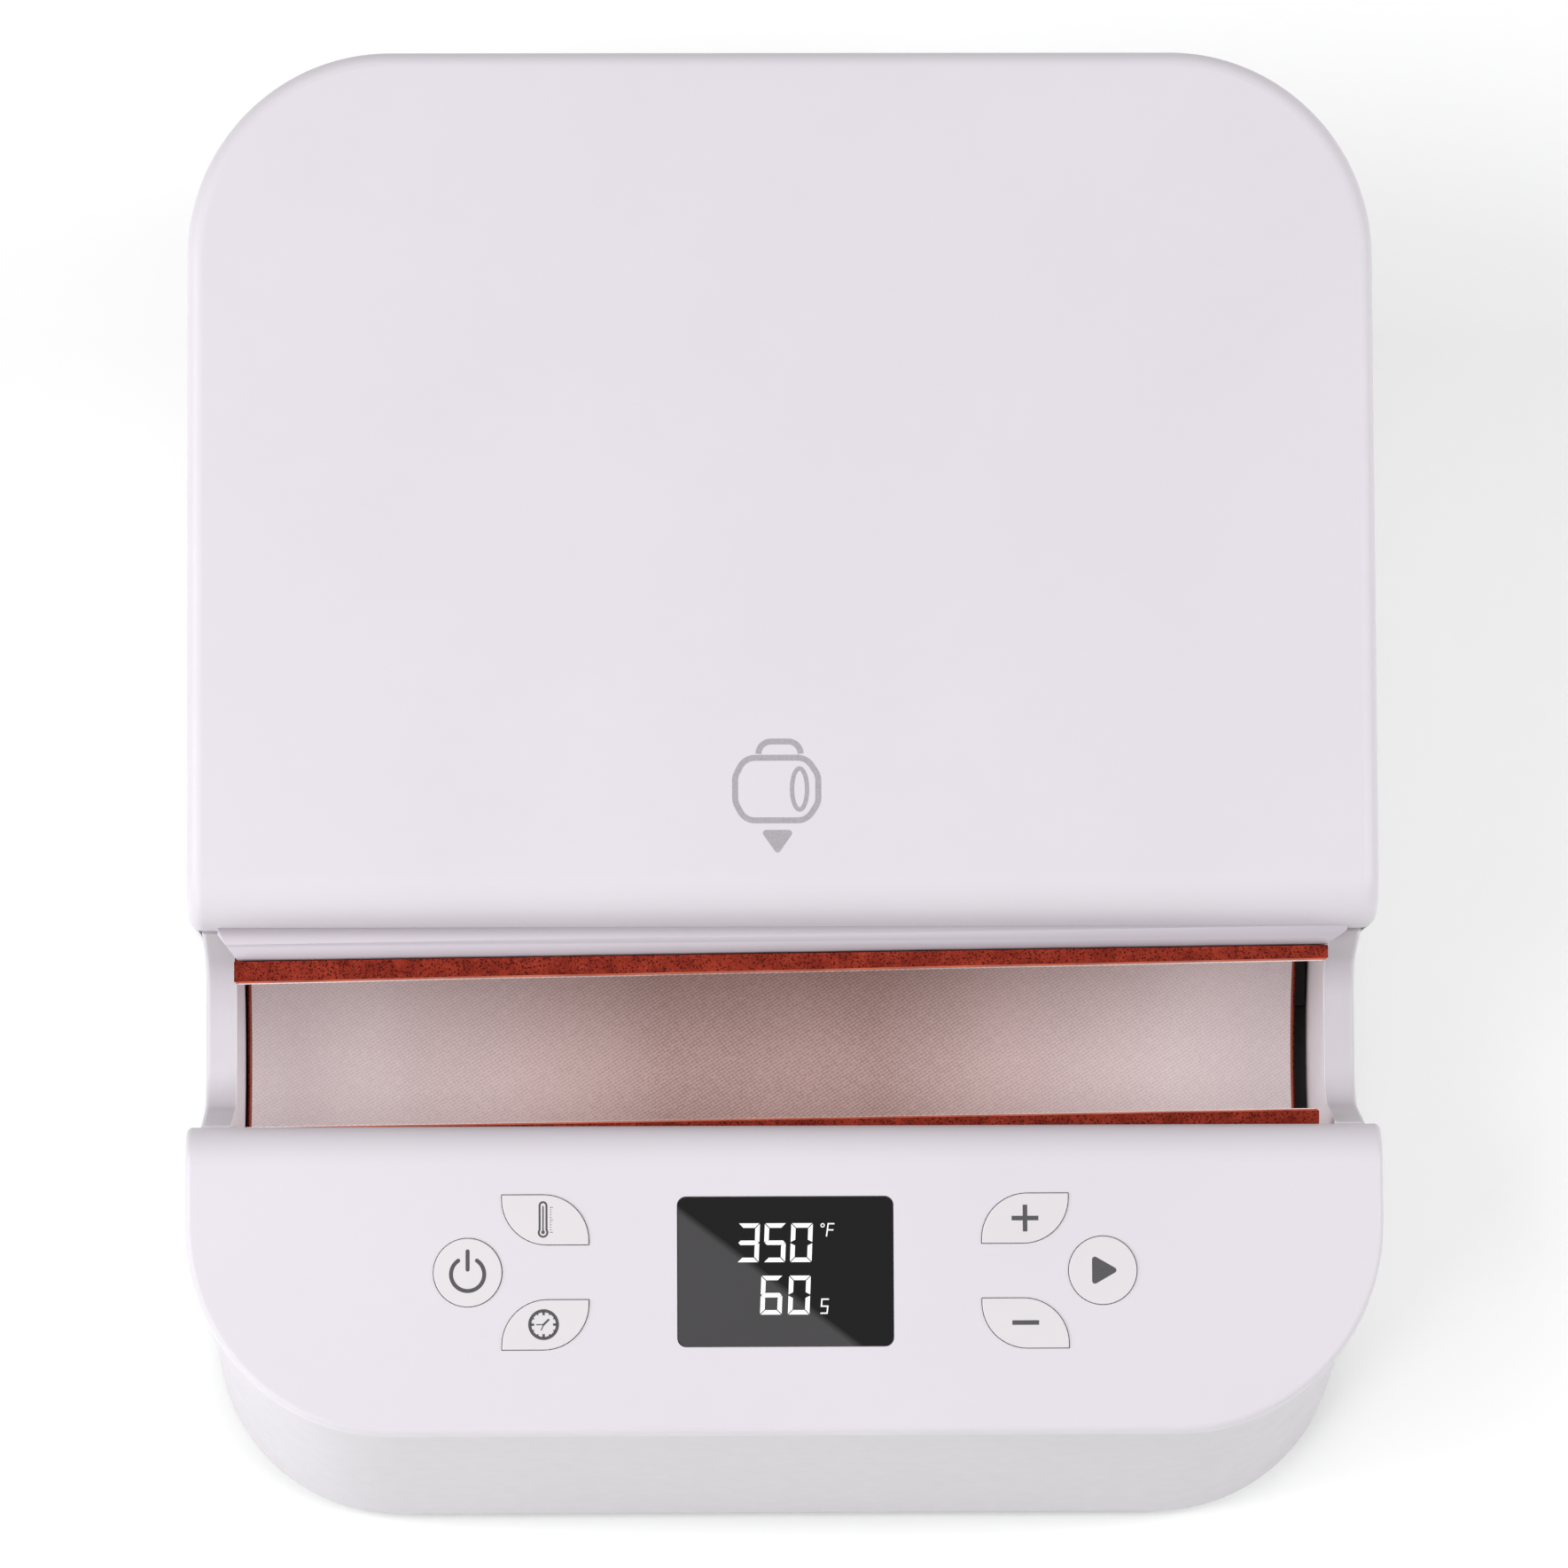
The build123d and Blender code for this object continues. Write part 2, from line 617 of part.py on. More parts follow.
# Pad: three layers of one long band, bent round the chamber and turned up into its two lips
def pad_layer(inner, outer):
    """Band between two distances outside the cup's surface."""
    turn_rise = curl_rise / (bore + lip_curl)
    turn_reach = curl_reach / (bore + lip_curl)
    centre_x, centre_y = cradle_centre
    with BuildPart() as layer:
        with BuildSketch(section.offset(-pad_length / 2)) as profile:
            for depth in (outer, inner):
                radius = bore + depth
                curl = lip_curl - depth
                lip = curl_reach - curl
                turn = (turn_reach * radius, turn_rise * radius)
                with BuildLine():
                    left_lip = Line((centre_x - lip, -lip_drop), (centre_x - lip, -curl_drop))
                    right_lip = Line((centre_x + lip, -lip_drop), (centre_x + lip, -curl_drop))
                    left_end = (centre_x - turn[0], centre_y + turn[1])
                    right_end = (centre_x + turn[0], centre_y + turn[1])
                    TangentArc(left_lip @ 1, left_end, tangent=(0, -1))
                    TangentArc(right_lip @ 1, right_end, tangent=(0, -1))
                    ThreePointArc(left_end, (centre_x, centre_y - radius), right_end)
                    Line(left_lip @ 0, right_lip @ 0)
                make_face(mode=Mode.ADD if depth == outer else Mode.SUBTRACT)
        extrude(amount=pad_length)
    return layer


fabric_face = pad_layer(0, fabric_thickness)
hand_in(fabric_face, "fabric_face")
heater_mat = pad_layer(fabric_thickness, fabric_thickness + heater_thickness)
hand_in(heater_mat, "heater_mat")
foam_liner = pad_layer(fabric_thickness + heater_thickness, pad_thickness)
hand_in(foam_liner, "foam_liner")

# Base: upright walls that stand on a bottom plate and dip at each end of the chamber
columns_at = [(x, y) for x in (-column_reach, column_reach) for y in (-column_pitch, 0, column_pitch)]
block_x = (-bearing_radius - drive_margin, bearing_radius + drive_margin)
block_toe = place(0, screw_bearing + bearing_length / 2, screw_drop + block_x[1])
pin_back = back_wall - socket_depth - pin_stub
board_x = (power_board_x - power_board_length / 2, power_board_x + power_board_length / 2)
board_y = (block_toe.Y + drive_foot + board_front_gap, pin_back - board_back_gap)
board_middle = (power_board_x, sum(board_y) / 2)
standoffs_at = [
    (x, y)
    for x in (board_x[0] + standoff_inset, board_x[1] - standoff_inset)
    for y in (board_y[0] + standoff_inset, board_y[1] - standoff_inset)
]
tops = 2 * top_middle
socket_x = (socket_reach - socket_width / 2, socket_reach + socket_width / 2)
socket_z = (socket_level - socket_height / 2, socket_level + socket_height / 2)
socket_holes_at = [socket_reach + side * socket_hole_spacing / 2 for side in (-1, 1)]


def across(x, z, y, radius, mode=Mode.ADD):
    """Cylinder along +Y between two values of y."""
    with BuildSketch(Plane(origin=(0, y[0], 0), x_dir=(1, 0, 0), z_dir=(0, 1, 0))) as disc:
        with Locations((x, -z)):
            Circle(radius)
    extrude(disc.sketch, amount=y[1] - y[0], mode=mode)


with BuildPart() as base_shell:
    with BuildSketch(Plane.XY.offset(floor)):
        RectangleRounded(2 * base_half, base_depth, corner_radius - overhang)
        offset(amount=-base_wall, mode=Mode.SUBTRACT)
    extrude(amount=tops)
    clear_above_walls()
    rims = base_shell.edges().filter_by(lambda e: abs(abs(e.center().X) - base_half) < 0.01)
    rims = rims.filter_by(lambda e: -end_dip - 1 < deck.to_local_coords(e.center()).Z < -side_drop - 1)
    rims = rims.filter_by(lambda e: abs(deck.to_local_coords(e.center()).Y - chamber_run) < mouth)
    fillet(rims, rim_round)
    for x, y in columns_at:
        post(x, y, (floor, floor + column_height), column_radius)
        post(x, y, (floor, floor + column_height - 2), screw_shank + screw_clearance, mode=Mode.SUBTRACT)
    block(socket_x, (back_wall - 2 * base_wall, back_wall + 1), socket_z, mode=Mode.SUBTRACT)
    for x in socket_holes_at:
        across(x, socket_level, (back_wall - 2 * base_wall, back_wall + 1), socket_hole, mode=Mode.SUBTRACT)
hand_in(base_shell, "base_shell")

for side, name in ((-1, "left_end_cheek"), (1, "right_end_cheek")):
    with BuildPart() as cheek:
        x = sorted((side * cheek_face, side * base_inner))
        slab(x, (front_seat - cheek_margin, cheek_back), (0, cheek_bottom))
        clear_above_walls()
        block((-far, far), (-far, far), (-far, floor), mode=Mode.SUBTRACT)
        for y in (-column_pitch, 0, column_pitch):
            post(side * column_reach, y, (0, floor + column_height), column_radius, mode=Mode.SUBTRACT)
    hand_in(cheek, name)

feet_at = [(x * (base_half - foot_inset), y * (back_wall - foot_inset)) for x in (-1, 1) for y in (-1, 1)]
with BuildPart() as bottom_plate:
    with BuildSketch(Plane.XY.offset(foot_height)):
        RectangleRounded(
            2 * (base_half - plate_inset),
            base_depth - 2 * plate_inset,
            corner_radius - overhang - plate_inset,
        )
    extrude(amount=plate_thickness)
    fillet(bottom_plate.faces().sort_by(Axis.Z)[0].edges(), plate_thickness / 2)
    for x, y in standoffs_at:
        post(x, y, (floor, floor + standoff_height), boss_radius)
        post(x, y, (floor + 1, floor + standoff_height), screw_shank + screw_clearance, mode=Mode.SUBTRACT)
    for x, y in columns_at + feet_at:
        post(x, y, (0, floor), screw_shank + screw_clearance, mode=Mode.SUBTRACT)
    with BuildSketch(Plane.XY) as vents:
        with Locations(board_middle):
            with GridLocations(vent_length + vent_width, 3 * vent_width, 2, 6):
                SlotOverall(vent_length, vent_width)
    extrude(vents.sketch, amount=floor, mode=Mode.SUBTRACT)
hand_in(bottom_plate, "bottom_plate")

with BuildPart() as bottom_screws:
    for x, y in columns_at:
        post(x, y, (foot_height, floor + column_height - 4), screw_shank)
        post(x, y, (foot_height - head_height, foot_height), screw_head)
hand_in(bottom_screws, "bottom_screws")

with BuildPart() as feet:
    for x, y in feet_at:
        post(x, y, (0, foot_height), foot_radius)
    ground = feet.edges().filter_by(GeomType.CIRCLE).group_by(Axis.Z)[0]
    fillet(ground, foot_round)
    for x, y in feet_at:
        post(x, y, (0, head_height), screw_head + screw_clearance, mode=Mode.SUBTRACT)
        post(x, y, (0, foot_height), screw_shank + screw_clearance, mode=Mode.SUBTRACT)
hand_in(feet, "feet")

with BuildPart() as foot_screws:
    for x, y in feet_at:
        post(x, y, (foot_screw_recess, head_height), screw_head)
        post(x, y, (head_height, floor), screw_shank)
hand_in(foot_screws, "foot_screws")

# Carriage: a plate under the hood with two bushing housings, a nut block and two cradle ribs
with BuildPart() as carriage:
    plate_x = (-carriage_reach, carriage_reach)
    slab(plate_x, (carriage_front, carriage_back), (flange_bottom, carriage_bottom))
    for x in (-rod_reach, rod_reach):
        housing_x = (x - housing_reach, x + housing_reach)
        slab(housing_x, (housing_front, housing_back), (carriage_bottom, rod_drop + housing_reach))
        shaft(x, rod_drop, (housing_front, housing_back), bushing_radius, mode=Mode.SUBTRACT)
    nut_drop = (carriage_bottom, screw_drop + housing_reach)
    slab((-housing_reach, housing_reach), (nut_front, nut_back), nut_drop)
    shaft(0, screw_drop, (nut_front, nut_back), nut_radius, mode=Mode.SUBTRACT)
    for x in (-rib_reach, rib_reach):
        run = (chamber_run + rear_cradle_start, chamber_run + rib_setback)
        slab((x - rib_thickness / 2, x + rib_thickness / 2), run, (carriage_bottom, rib_bottom))
    with BuildSketch(section.offset(-carriage_reach)) as hollow:
        with Locations(cradle_centre):
            Circle(cradle_radius + seat_gap)
    extrude(hollow.sketch, amount=2 * carriage_reach, mode=Mode.SUBTRACT)
    for x, run in fixings:
        peg(x, run, (0, carriage_bottom + 1), screw_shank + screw_clearance, mode=Mode.SUBTRACT)
hand_in(carriage, "carriage")

with BuildPart() as carriage_screws:
    for x, run in fixings:
        peg(x, run, (bar_bottom - 8, carriage_bottom), screw_shank)
        peg(x, run, (carriage_bottom, carriage_bottom + head_height), screw_head)
hand_in(carriage_screws, "carriage_screws")

with BuildPart() as clamp_screws:
    for x in clamp_screws_at:
        peg(x, clamp_run, (bar_drop, flange_bottom), screw_shank)
        peg(x, clamp_run, (bar_drop - head_height, bar_drop), screw_head)
hand_in(clamp_screws, "clamp_screws")

for side, name in ((-1, "left_bushings"), (1, "right_bushings")):
    with BuildPart() as bushings:
        for front in (housing_front, housing_back - bushing_length):
            run = (front, front + bushing_length)
            shaft(side * rod_reach, rod_drop, run, bushing_radius)
            shaft(side * rod_reach, rod_drop, run, rod_radius + bushing_clearance, mode=Mode.SUBTRACT)
    hand_in(bushings, name)

with BuildPart() as screw_nut:
    shaft(0, screw_drop, (nut_front - nut_flange, nut_back), nut_radius)
    shaft(0, screw_drop, (nut_front - nut_flange, nut_front), housing_reach - 1)
    nut_run = (nut_front - nut_flange, nut_back)
    shaft(0, screw_drop, nut_run, screw_radius + nut_clearance, mode=Mode.SUBTRACT)
hand_in(screw_nut, "screw_nut")


# Guide rods in upright brackets
def rod_run(y):
    """Run at which a guide rod's axis crosses one value of y."""
    return (y - rod_drop * sin(tilt)) / cos(tilt)


for side, name in ((-1, "left_guide_rod"), (1, "right_guide_rod")):
    with BuildPart() as rod:
        run = (rod_run(front_bracket + rod_recess), rod_run(back_bracket + bracket_thickness - rod_recess))
        shaft(side * rod_reach, rod_drop, run, rod_radius)
    hand_in(rod, name)

for y, name in ((front_bracket, "front_rod_brackets"), (back_bracket, "back_rod_brackets")):
    with BuildPart() as brackets:
        top_z = place(0, rod_run(y + bracket_thickness / 2), rod_drop).Z + bracket_reach
        run = (rod_run(y) - bracket_thickness, rod_run(y) + 2 * bracket_thickness)
        for x in (-rod_reach, rod_reach):
            block((x - bracket_reach, x + bracket_reach), (y, y + bracket_thickness), (floor, top_z))
        fillet(brackets.edges().filter_by(Axis.Y).group_by(Axis.Z)[-1], bracket_reach / 2)
        for x in (-rod_reach, rod_reach):
            shaft(x, rod_drop, run, rod_radius, mode=Mode.SUBTRACT)
    hand_in(brackets, name)

# Lead screw, its bearings, its gear and the motor beside it
screw_back = gear_back + gear_stub
with BuildPart() as lead_screw:
    shaft(0, screw_drop, (screw_front, screw_back), screw_radius)
    chamfer(lead_screw.edges().filter_by(GeomType.CIRCLE), screw_radius / 6)
hand_in(lead_screw, "lead_screw")

for run_start, name in ((screw_bearing, "front_screw_bearing"), (drive_plate, "back_screw_bearing")):
    with BuildPart() as bearing:
        run = (run_start, run_start + bearing_length)
        shaft(0, screw_drop, run, bearing_radius)
        shaft(0, screw_drop, run, screw_radius + bushing_clearance, mode=Mode.SUBTRACT)
    hand_in(bearing, name)

with BuildPart() as front_screw_block:
    plate = (screw_bearing, screw_bearing + bearing_length)
    slab(block_x, plate, (screw_drop - block_x[1], screw_drop + block_x[1]))
    block(block_x, (block_toe.Y - leg_half, block_toe.Y + leg_half), (floor, block_toe.Z + leg_half))
    block(block_x, (block_toe.Y - leg_half, block_toe.Y + drive_foot), (floor, floor + foot_plate))
    shaft(0, screw_drop, plate, bearing_radius, mode=Mode.SUBTRACT)
hand_in(front_screw_block, "front_screw_block")

with BuildPart() as drive_bracket:
    plate = (drive_plate, drive_plate + bearing_length)
    legs = (block_x[0], motor_reach + motor_radius)
    plate_bottom = screw_drop + motor_radius + 2 * leg_half
    slab(legs, plate, (screw_drop - block_x[1], plate_bottom))
    toe = place(0, drive_plate + bearing_length / 2, plate_bottom)
    leg_y = (toe.Y - leg_half - 1, toe.Y + leg_half - 2)
    block(legs, leg_y, (floor, toe.Z + 2))
    block(legs, (leg_y[0], toe.Y + drive_foot), (floor, floor + foot_plate))
    shaft(0, screw_drop, plate, bearing_radius, mode=Mode.SUBTRACT)
    shaft(motor_reach, screw_drop, plate, 2 * motor_shaft_radius, mode=Mode.SUBTRACT)
hand_in(drive_bracket, "drive_bracket")


def toothed(x, teeth, first_tooth, hole):
    """Spur gear on the drive's back side, with straight-flanked teeth and a real backlash."""
    pitch = gear_module * teeth / 2
    root = pitch - tooth_depth * gear_module
    tip = pitch + tooth_rise * gear_module
    half_pitch_width = (pi / 2 * gear_module - gear_backlash) / 2
    with BuildPart() as wheel:
        with BuildSketch(facing_back(gear_front)) as outline:
            with Locations((x, screw_drop)):
                Circle(root)
                with PolarLocations(0, teeth, start_angle=first_tooth):
                    Polygon(
                        (root - 0.3, -1.6 * half_pitch_width),
                        (pitch, -half_pitch_width),
                        (tip, -0.5 * half_pitch_width),
                        (tip, 0.5 * half_pitch_width),
                        (pitch, half_pitch_width),
                        (root - 0.3, 1.6 * half_pitch_width),
                        align=None,
                    )
                Circle(hole, mode=Mode.SUBTRACT)
        extrude(amount=gear_width)
    return wheel


screw_gear = toothed(0, gear_teeth, 0, screw_radius)
hand_in(screw_gear, "screw_gear")
motor_pinion = toothed(motor_reach, pinion_teeth, 180 / pinion_teeth, motor_shaft_radius)
hand_in(motor_pinion, "motor_pinion")

with BuildPart() as motor:
    shaft(motor_reach, screw_drop, (drive_plate - motor_length, drive_plate), motor_radius)
    seat = (drive_plate - shaft_seat, drive_plate)
    shaft(motor_reach, screw_drop, seat, motor_shaft_radius + shaft_clearance, Mode.SUBTRACT)
hand_in(motor, "motor")

with BuildPart() as motor_shaft:
    shaft_run = (drive_plate - shaft_seat + shaft_clearance, screw_back)
    shaft(motor_reach, screw_drop, shaft_run, motor_shaft_radius)
hand_in(motor_shaft, "motor_shaft")

# Power board on the bottom plate, with its larger parts
board_z = floor + standoff_height
board_top = board_z + board_thickness
with BuildPart() as power_board:
    block(board_x, board_y, (board_z, board_top))
    for x, y in standoffs_at:
        post(x, y, (board_z, board_top), screw_shank + screw_clearance, mode=Mode.SUBTRACT)
hand_in(power_board, "power_board")

with BuildPart() as power_board_screws:
    for x, y in standoffs_at:
        post(x, y, (floor + 3, board_top), screw_shank)
        post(x, y, (board_top, board_top + head_height), screw_head)
hand_in(power_board_screws, "power_board_screws")


def on_board(x, y, size):
    """Block that stands on the power board, placed from the board's middle."""
    middle_x, middle_y = board_middle[0] + x, board_middle[1] + y
    span_x = (middle_x - size[0] / 2, middle_x + size[0] / 2)
    block(span_x, (middle_y - size[1] / 2, middle_y + size[1] / 2), (board_top, board_top + size[2]))


with BuildPart() as transformer:
    on_board(transformer_x, 0, transformer_size)
    fillet(transformer.edges().filter_by(Axis.Z), 2)
hand_in(transformer, "transformer")

with BuildPart() as heater_relay:
    on_board(relay_x, relay_y, relay_size)
hand_in(heater_relay, "heater_relay")

with BuildPart() as filter_capacitor:
    x, y = board_middle[0] + capacitor_x, board_middle[1] + capacitor_y
    post(x, y, (board_top, board_top + capacitor_height), capacitor_radius)
    fillet(filter_capacitor.edges().sort_by(Axis.Z)[-1], 1)
hand_in(filter_capacitor, "filter_capacitor")

# Heat sensing on the fixed cradle
with BuildPart() as temperature_sensor:
    peg(0, chamber_run, (chamber_bottom, chamber_bottom + cradle_thickness), sensor_radius)
    rim_drop = (chamber_bottom + cradle_thickness, chamber_bottom + sensor_height)
    peg(0, chamber_run, rim_drop, sensor_radius + sensor_rim)
hand_in(temperature_sensor, "temperature_sensor")

with BuildPart() as thermal_cutout:
    cutout_top = chamber_bottom + cradle_thickness
    cutout_run = chamber_run + cutout_setback
    peg(cutout_reach, cutout_run, (cutout_top, cutout_top + cutout_height), cutout_radius)
    peg(cutout_reach, cutout_run, (cutout_top, cutout_top + 1), cutout_radius + cutout_rim)
hand_in(thermal_cutout, "thermal_cutout")

# Travel switches on the right-hand rod brackets
for y, name in ((front_bracket, "shut_switch"), (back_bracket, "open_switch")):
    with BuildPart() as travel_switch:
        top_z = place(0, rod_run(y + bracket_thickness / 2), rod_drop).Z
        x = rod_reach - bracket_reach
        body_top = top_z - travel_button_height
        body_x = (x - travel_switch_width, x)
        block(body_x, (y, y + bracket_thickness), (body_top - travel_switch_height, body_top))
        post(sum(body_x) / 2, y + bracket_thickness / 2, (body_top, top_z), travel_button)
    hand_in(travel_switch, name)

# Appliance inlet in the back wall
pin_offsets = ((-pin_spacing, pin_offset), (0, -pin_offset), (pin_spacing, pin_offset))
inlet_pins_at = [(socket_reach + x, socket_level + z) for x, z in pin_offsets]
pin_y = (pin_back, back_wall - pin_recess)
with BuildPart() as inlet:
    flange_x = (socket_reach - socket_flange_width / 2, socket_reach + socket_flange_width / 2)
    flange_z = (socket_level - socket_flange_height / 2, socket_level + socket_flange_height / 2)
    block(flange_x, (back_wall, back_wall + socket_flange_thickness), flange_z)
    fillet(inlet.edges().filter_by(Axis.Y), 3)
    body_x = (socket_x[0] + socket_gap, socket_x[1] - socket_gap)
    body_z = (socket_z[0] + socket_gap, socket_z[1] - socket_gap)
    block(body_x, (back_wall - socket_depth, back_wall), body_z)
    hole_x = (body_x[0] + socket_wall, body_x[1] - socket_wall)
    hole_z = (body_z[0] + socket_wall, body_z[1] - socket_wall)
    hole_y = (back_wall - socket_depth + 2 * socket_wall, back_wall + socket_flange_thickness)
    block(hole_x, hole_y, hole_z, mode=Mode.SUBTRACT)
    for x in socket_holes_at:
        across(x, socket_level, (back_wall, back_wall + 5), socket_hole, mode=Mode.SUBTRACT)
    for x, z in inlet_pins_at:
        block((x - pin_width / 2, x + pin_width / 2), pin_y, (z - pin_height / 2, z + pin_height / 2), mode=Mode.SUBTRACT)
hand_in(inlet, "inlet")

with BuildPart() as inlet_pins:
    for x, z in inlet_pins_at:
        block((x - pin_width / 2, x + pin_width / 2), pin_y, (z - pin_height / 2, z + pin_height / 2))
hand_in(inlet_pins, "inlet_pins")

with BuildPart() as inlet_screws:
    for x in socket_holes_at:
        y = back_wall + socket_flange_thickness
        across(x, socket_level, (back_wall - 2 * base_wall, y), screw_shank)
        across(x, socket_level, (y, y + 1.3), screw_head)
hand_in(inlet_screws, "inlet_screws")
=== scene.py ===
# Tumbler heat press, dressed for a studio picture.
# Metres. +X is to the right seen from the control panel, +Y to the back, +Z up.
# "along" is a distance up the sloping top face and "rise" a distance square to it.

import json
import math
from itertools import accumulate

import bmesh
import bpy
from mathutils import Matrix, Vector, noise


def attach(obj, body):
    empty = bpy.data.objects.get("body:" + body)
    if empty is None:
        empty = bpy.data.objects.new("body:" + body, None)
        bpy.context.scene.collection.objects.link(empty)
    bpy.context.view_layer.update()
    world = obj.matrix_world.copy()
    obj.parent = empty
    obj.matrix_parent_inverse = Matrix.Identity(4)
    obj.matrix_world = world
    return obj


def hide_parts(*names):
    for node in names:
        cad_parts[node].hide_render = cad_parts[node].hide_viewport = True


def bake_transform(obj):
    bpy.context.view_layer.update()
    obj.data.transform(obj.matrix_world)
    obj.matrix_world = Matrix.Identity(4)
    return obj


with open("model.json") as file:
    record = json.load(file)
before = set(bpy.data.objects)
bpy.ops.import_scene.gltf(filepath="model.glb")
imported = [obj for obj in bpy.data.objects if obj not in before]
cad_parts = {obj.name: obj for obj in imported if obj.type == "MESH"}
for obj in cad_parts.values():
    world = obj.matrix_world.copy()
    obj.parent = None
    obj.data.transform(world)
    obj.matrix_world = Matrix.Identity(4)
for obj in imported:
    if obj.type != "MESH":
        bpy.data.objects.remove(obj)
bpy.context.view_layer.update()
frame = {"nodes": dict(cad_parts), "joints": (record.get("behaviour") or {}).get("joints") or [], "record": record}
nodes = frame["nodes"]
print("frame loaded:", len(nodes), "nodes")

slide = next(joint for joint in frame["joints"] if joint["name"] == "hood_slide")
upSlope = Vector(slide["axis"]).normalized()
offSlope = Vector((1, 0, 0)).cross(upSlope)
mm = 0.001
weld = 0.001 * mm  # points closer than this are one


def onSlope(x, along, rise):
    return Vector((x, 0, 0)) + upSlope * along + offSlope * rise


def slopeBox(name):  # a node's reach in x, along and rise
    spots = [(v.co.x, v.co.dot(upSlope), v.co.dot(offSlope)) for v in nodes[name].data.vertices]
    return [(min(s[k] for s in spots), max(s[k] for s in spots)) for k in range(3)]


def middle(pair):
    return (pair[0] + pair[1]) / 2


def smoothStep(t):
    t = min(max(t, 0.0), 1.0)
    return t * t * (3 - 2 * t)


# camera, at the photograph's viewing angle

cameraView = {
    "azimuth": -3.86,  # degrees, seen from the left of the middle
    "elevation": 72.66,
    "roll": 3.53,
    "distance": 2.15,
    "target": (0.00103, 0.00004, 0.110),
    "lens": 192.6,
    "sensor": 36,
}


def addCamera():
    azimuth, elevation, roll = (math.radians(cameraView[k]) for k in ("azimuth", "elevation", "roll"))
    level = math.cos(elevation)
    back = Vector((math.sin(azimuth) * level, -math.cos(azimuth) * level, math.sin(elevation)))
    right = Vector((0, 0, 1)).cross(back).normalized()
    up = back.cross(right)
    rolledRight = math.cos(roll) * right + math.sin(roll) * up
    rolledUp = math.cos(roll) * up - math.sin(roll) * right
    data = bpy.data.cameras.new("camera")
    data.lens = cameraView["lens"]
    data.sensor_width = cameraView["sensor"]
    camera = bpy.data.objects.new("camera", data)
    place = Vector(cameraView["target"]) + back * cameraView["distance"]
    turn = Matrix((rolledRight, rolledUp, back)).transposed().to_4x4()
    camera.matrix_world = Matrix.Translation(place) @ turn
    bpy.context.scene.collection.objects.link(camera)
    bpy.context.scene.camera = camera


addCamera()

# studio: an even sky, a light high up and a softbox lower down on either side, a small one at the front left

studio = {
    "sky": 0.47,
    "tint": (1.0, 0.965, 1.0),
    "aim": (0, 0, 0.1),
    "lights": {
        "leftOverhead": {"place": (-1.0, -0.38, 1.9), "size": 0.8, "power": 9},
        "rightOverhead": {"place": (1.0, -0.38, 1.9), "size": 0.8, "power": 10.5},
        "leftSoftbox": {"place": (-1.4, -0.14, 0.95), "size": 0.8, "power": 12},
        "rightSoftbox": {"place": (1.4, -0.14, 0.95), "size": 0.8, "power": 8},
        "frontLight": {"place": (-0.75, -0.95, 0.6), "size": 0.4, "power": 4.0},
    },
    "floorReach": 6.0,
    "floorWhite": (0.95, 0.985, 0.95),
    "floorRoughness": 0.9,
}


def addLight(name, place, size, power):
    data = bpy.data.lights.new(name, "AREA")
    data.energy = power
    data.size = size
    data.color = studio["tint"]
    light = bpy.data.objects.new(name, data)
    light.location = place
    light.rotation_euler = (Vector(studio["aim"]) - Vector(place)).to_track_quat("-Z", "Y").to_euler()
    bpy.context.scene.collection.objects.link(light)


def addSky():
    world = bpy.data.worlds.new("studioSky")
    world.use_nodes = True
    backdrop = world.node_tree.nodes["Background"]
    backdrop.inputs["Color"].default_value = (*studio["tint"], 1)
    backdrop.inputs["Strength"].default_value = studio["sky"]
    bpy.context.scene.world = world
    bpy.context.scene.view_settings.view_transform = "Standard"


for name, values in studio["lights"].items():
    addLight(name, **values)
addSky()
print("studio:", len(studio["lights"]), "lights")


# shader helpers

def newMaterial(name, colour, roughness, **sockets):
    material = bpy.data.materials.new(name)
    material.use_nodes = True
    shader = material.node_tree.nodes["Principled BSDF"]
    shader.inputs["Base Color"].default_value = (*colour, 1)
    shader.inputs["Roughness"].default_value = roughness
    for key, value in sockets.items():
        shader.inputs[key.replace("_", " ").title().replace("Ior", "IOR")].default_value = value
    material.diffuse_color = (*colour, 1)
    return material


def shaderOf(material):
    return material.node_tree.nodes["Principled BSDF"]


def setSocket(material, socket, value):  # another node's output is linked, anything else is set
    if isinstance(value, bpy.types.NodeSocket):
        material.node_tree.links.new(value, socket)
    else:
        socket.default_value = value


def addNode(material, kind, inputs=None, **settings):
    made = material.node_tree.nodes.new(kind)
    for key, value in settings.items():
        setattr(made, key, value)
    for key, value in (inputs or {}).items():
        setSocket(material, made.inputs[key], value)
    return made


def placed(material, scale=(1, 1, 1), source="Object"):
    coords = addNode(material, "ShaderNodeTexCoord").outputs[source]
    return addNode(material, "ShaderNodeMapping", {"Vector": coords, "Scale": scale}).outputs["Vector"]


def noiseField(material, spot, scale, detail):
    inputs = {"Vector": spot, "Scale": scale, "Detail": detail}
    return addNode(material, "ShaderNodeTexNoise", inputs).outputs["Fac"]


noiseBand = (0.3, 0.7)  # holds nearly all of a noise field's values
narrowBand = (0.35, 0.65)


def spread(material, value, band, results=(0, 1)):  # maps a band of values to the two results
    ends = {"From Min": band[0], "From Max": band[1], "To Min": results[0], "To Max": results[1]}
    return addNode(material, "ShaderNodeMapRange", {"Value": value, **ends}).outputs["Result"]


colourSocket = {"first": 6, "last": 7, "result": 2}  # by number: the Mix node repeats its names


def blendColours(material, factor, first, last):
    made = addNode(material, "ShaderNodeMix", {"Factor": factor}, data_type="RGBA")
    for key, value in (("first", first), ("last", last)):
        colour = value if isinstance(value, bpy.types.NodeSocket) else (*value, 1)
        setSocket(material, made.inputs[colourSocket[key]], colour)
    return made.outputs[colourSocket["result"]]


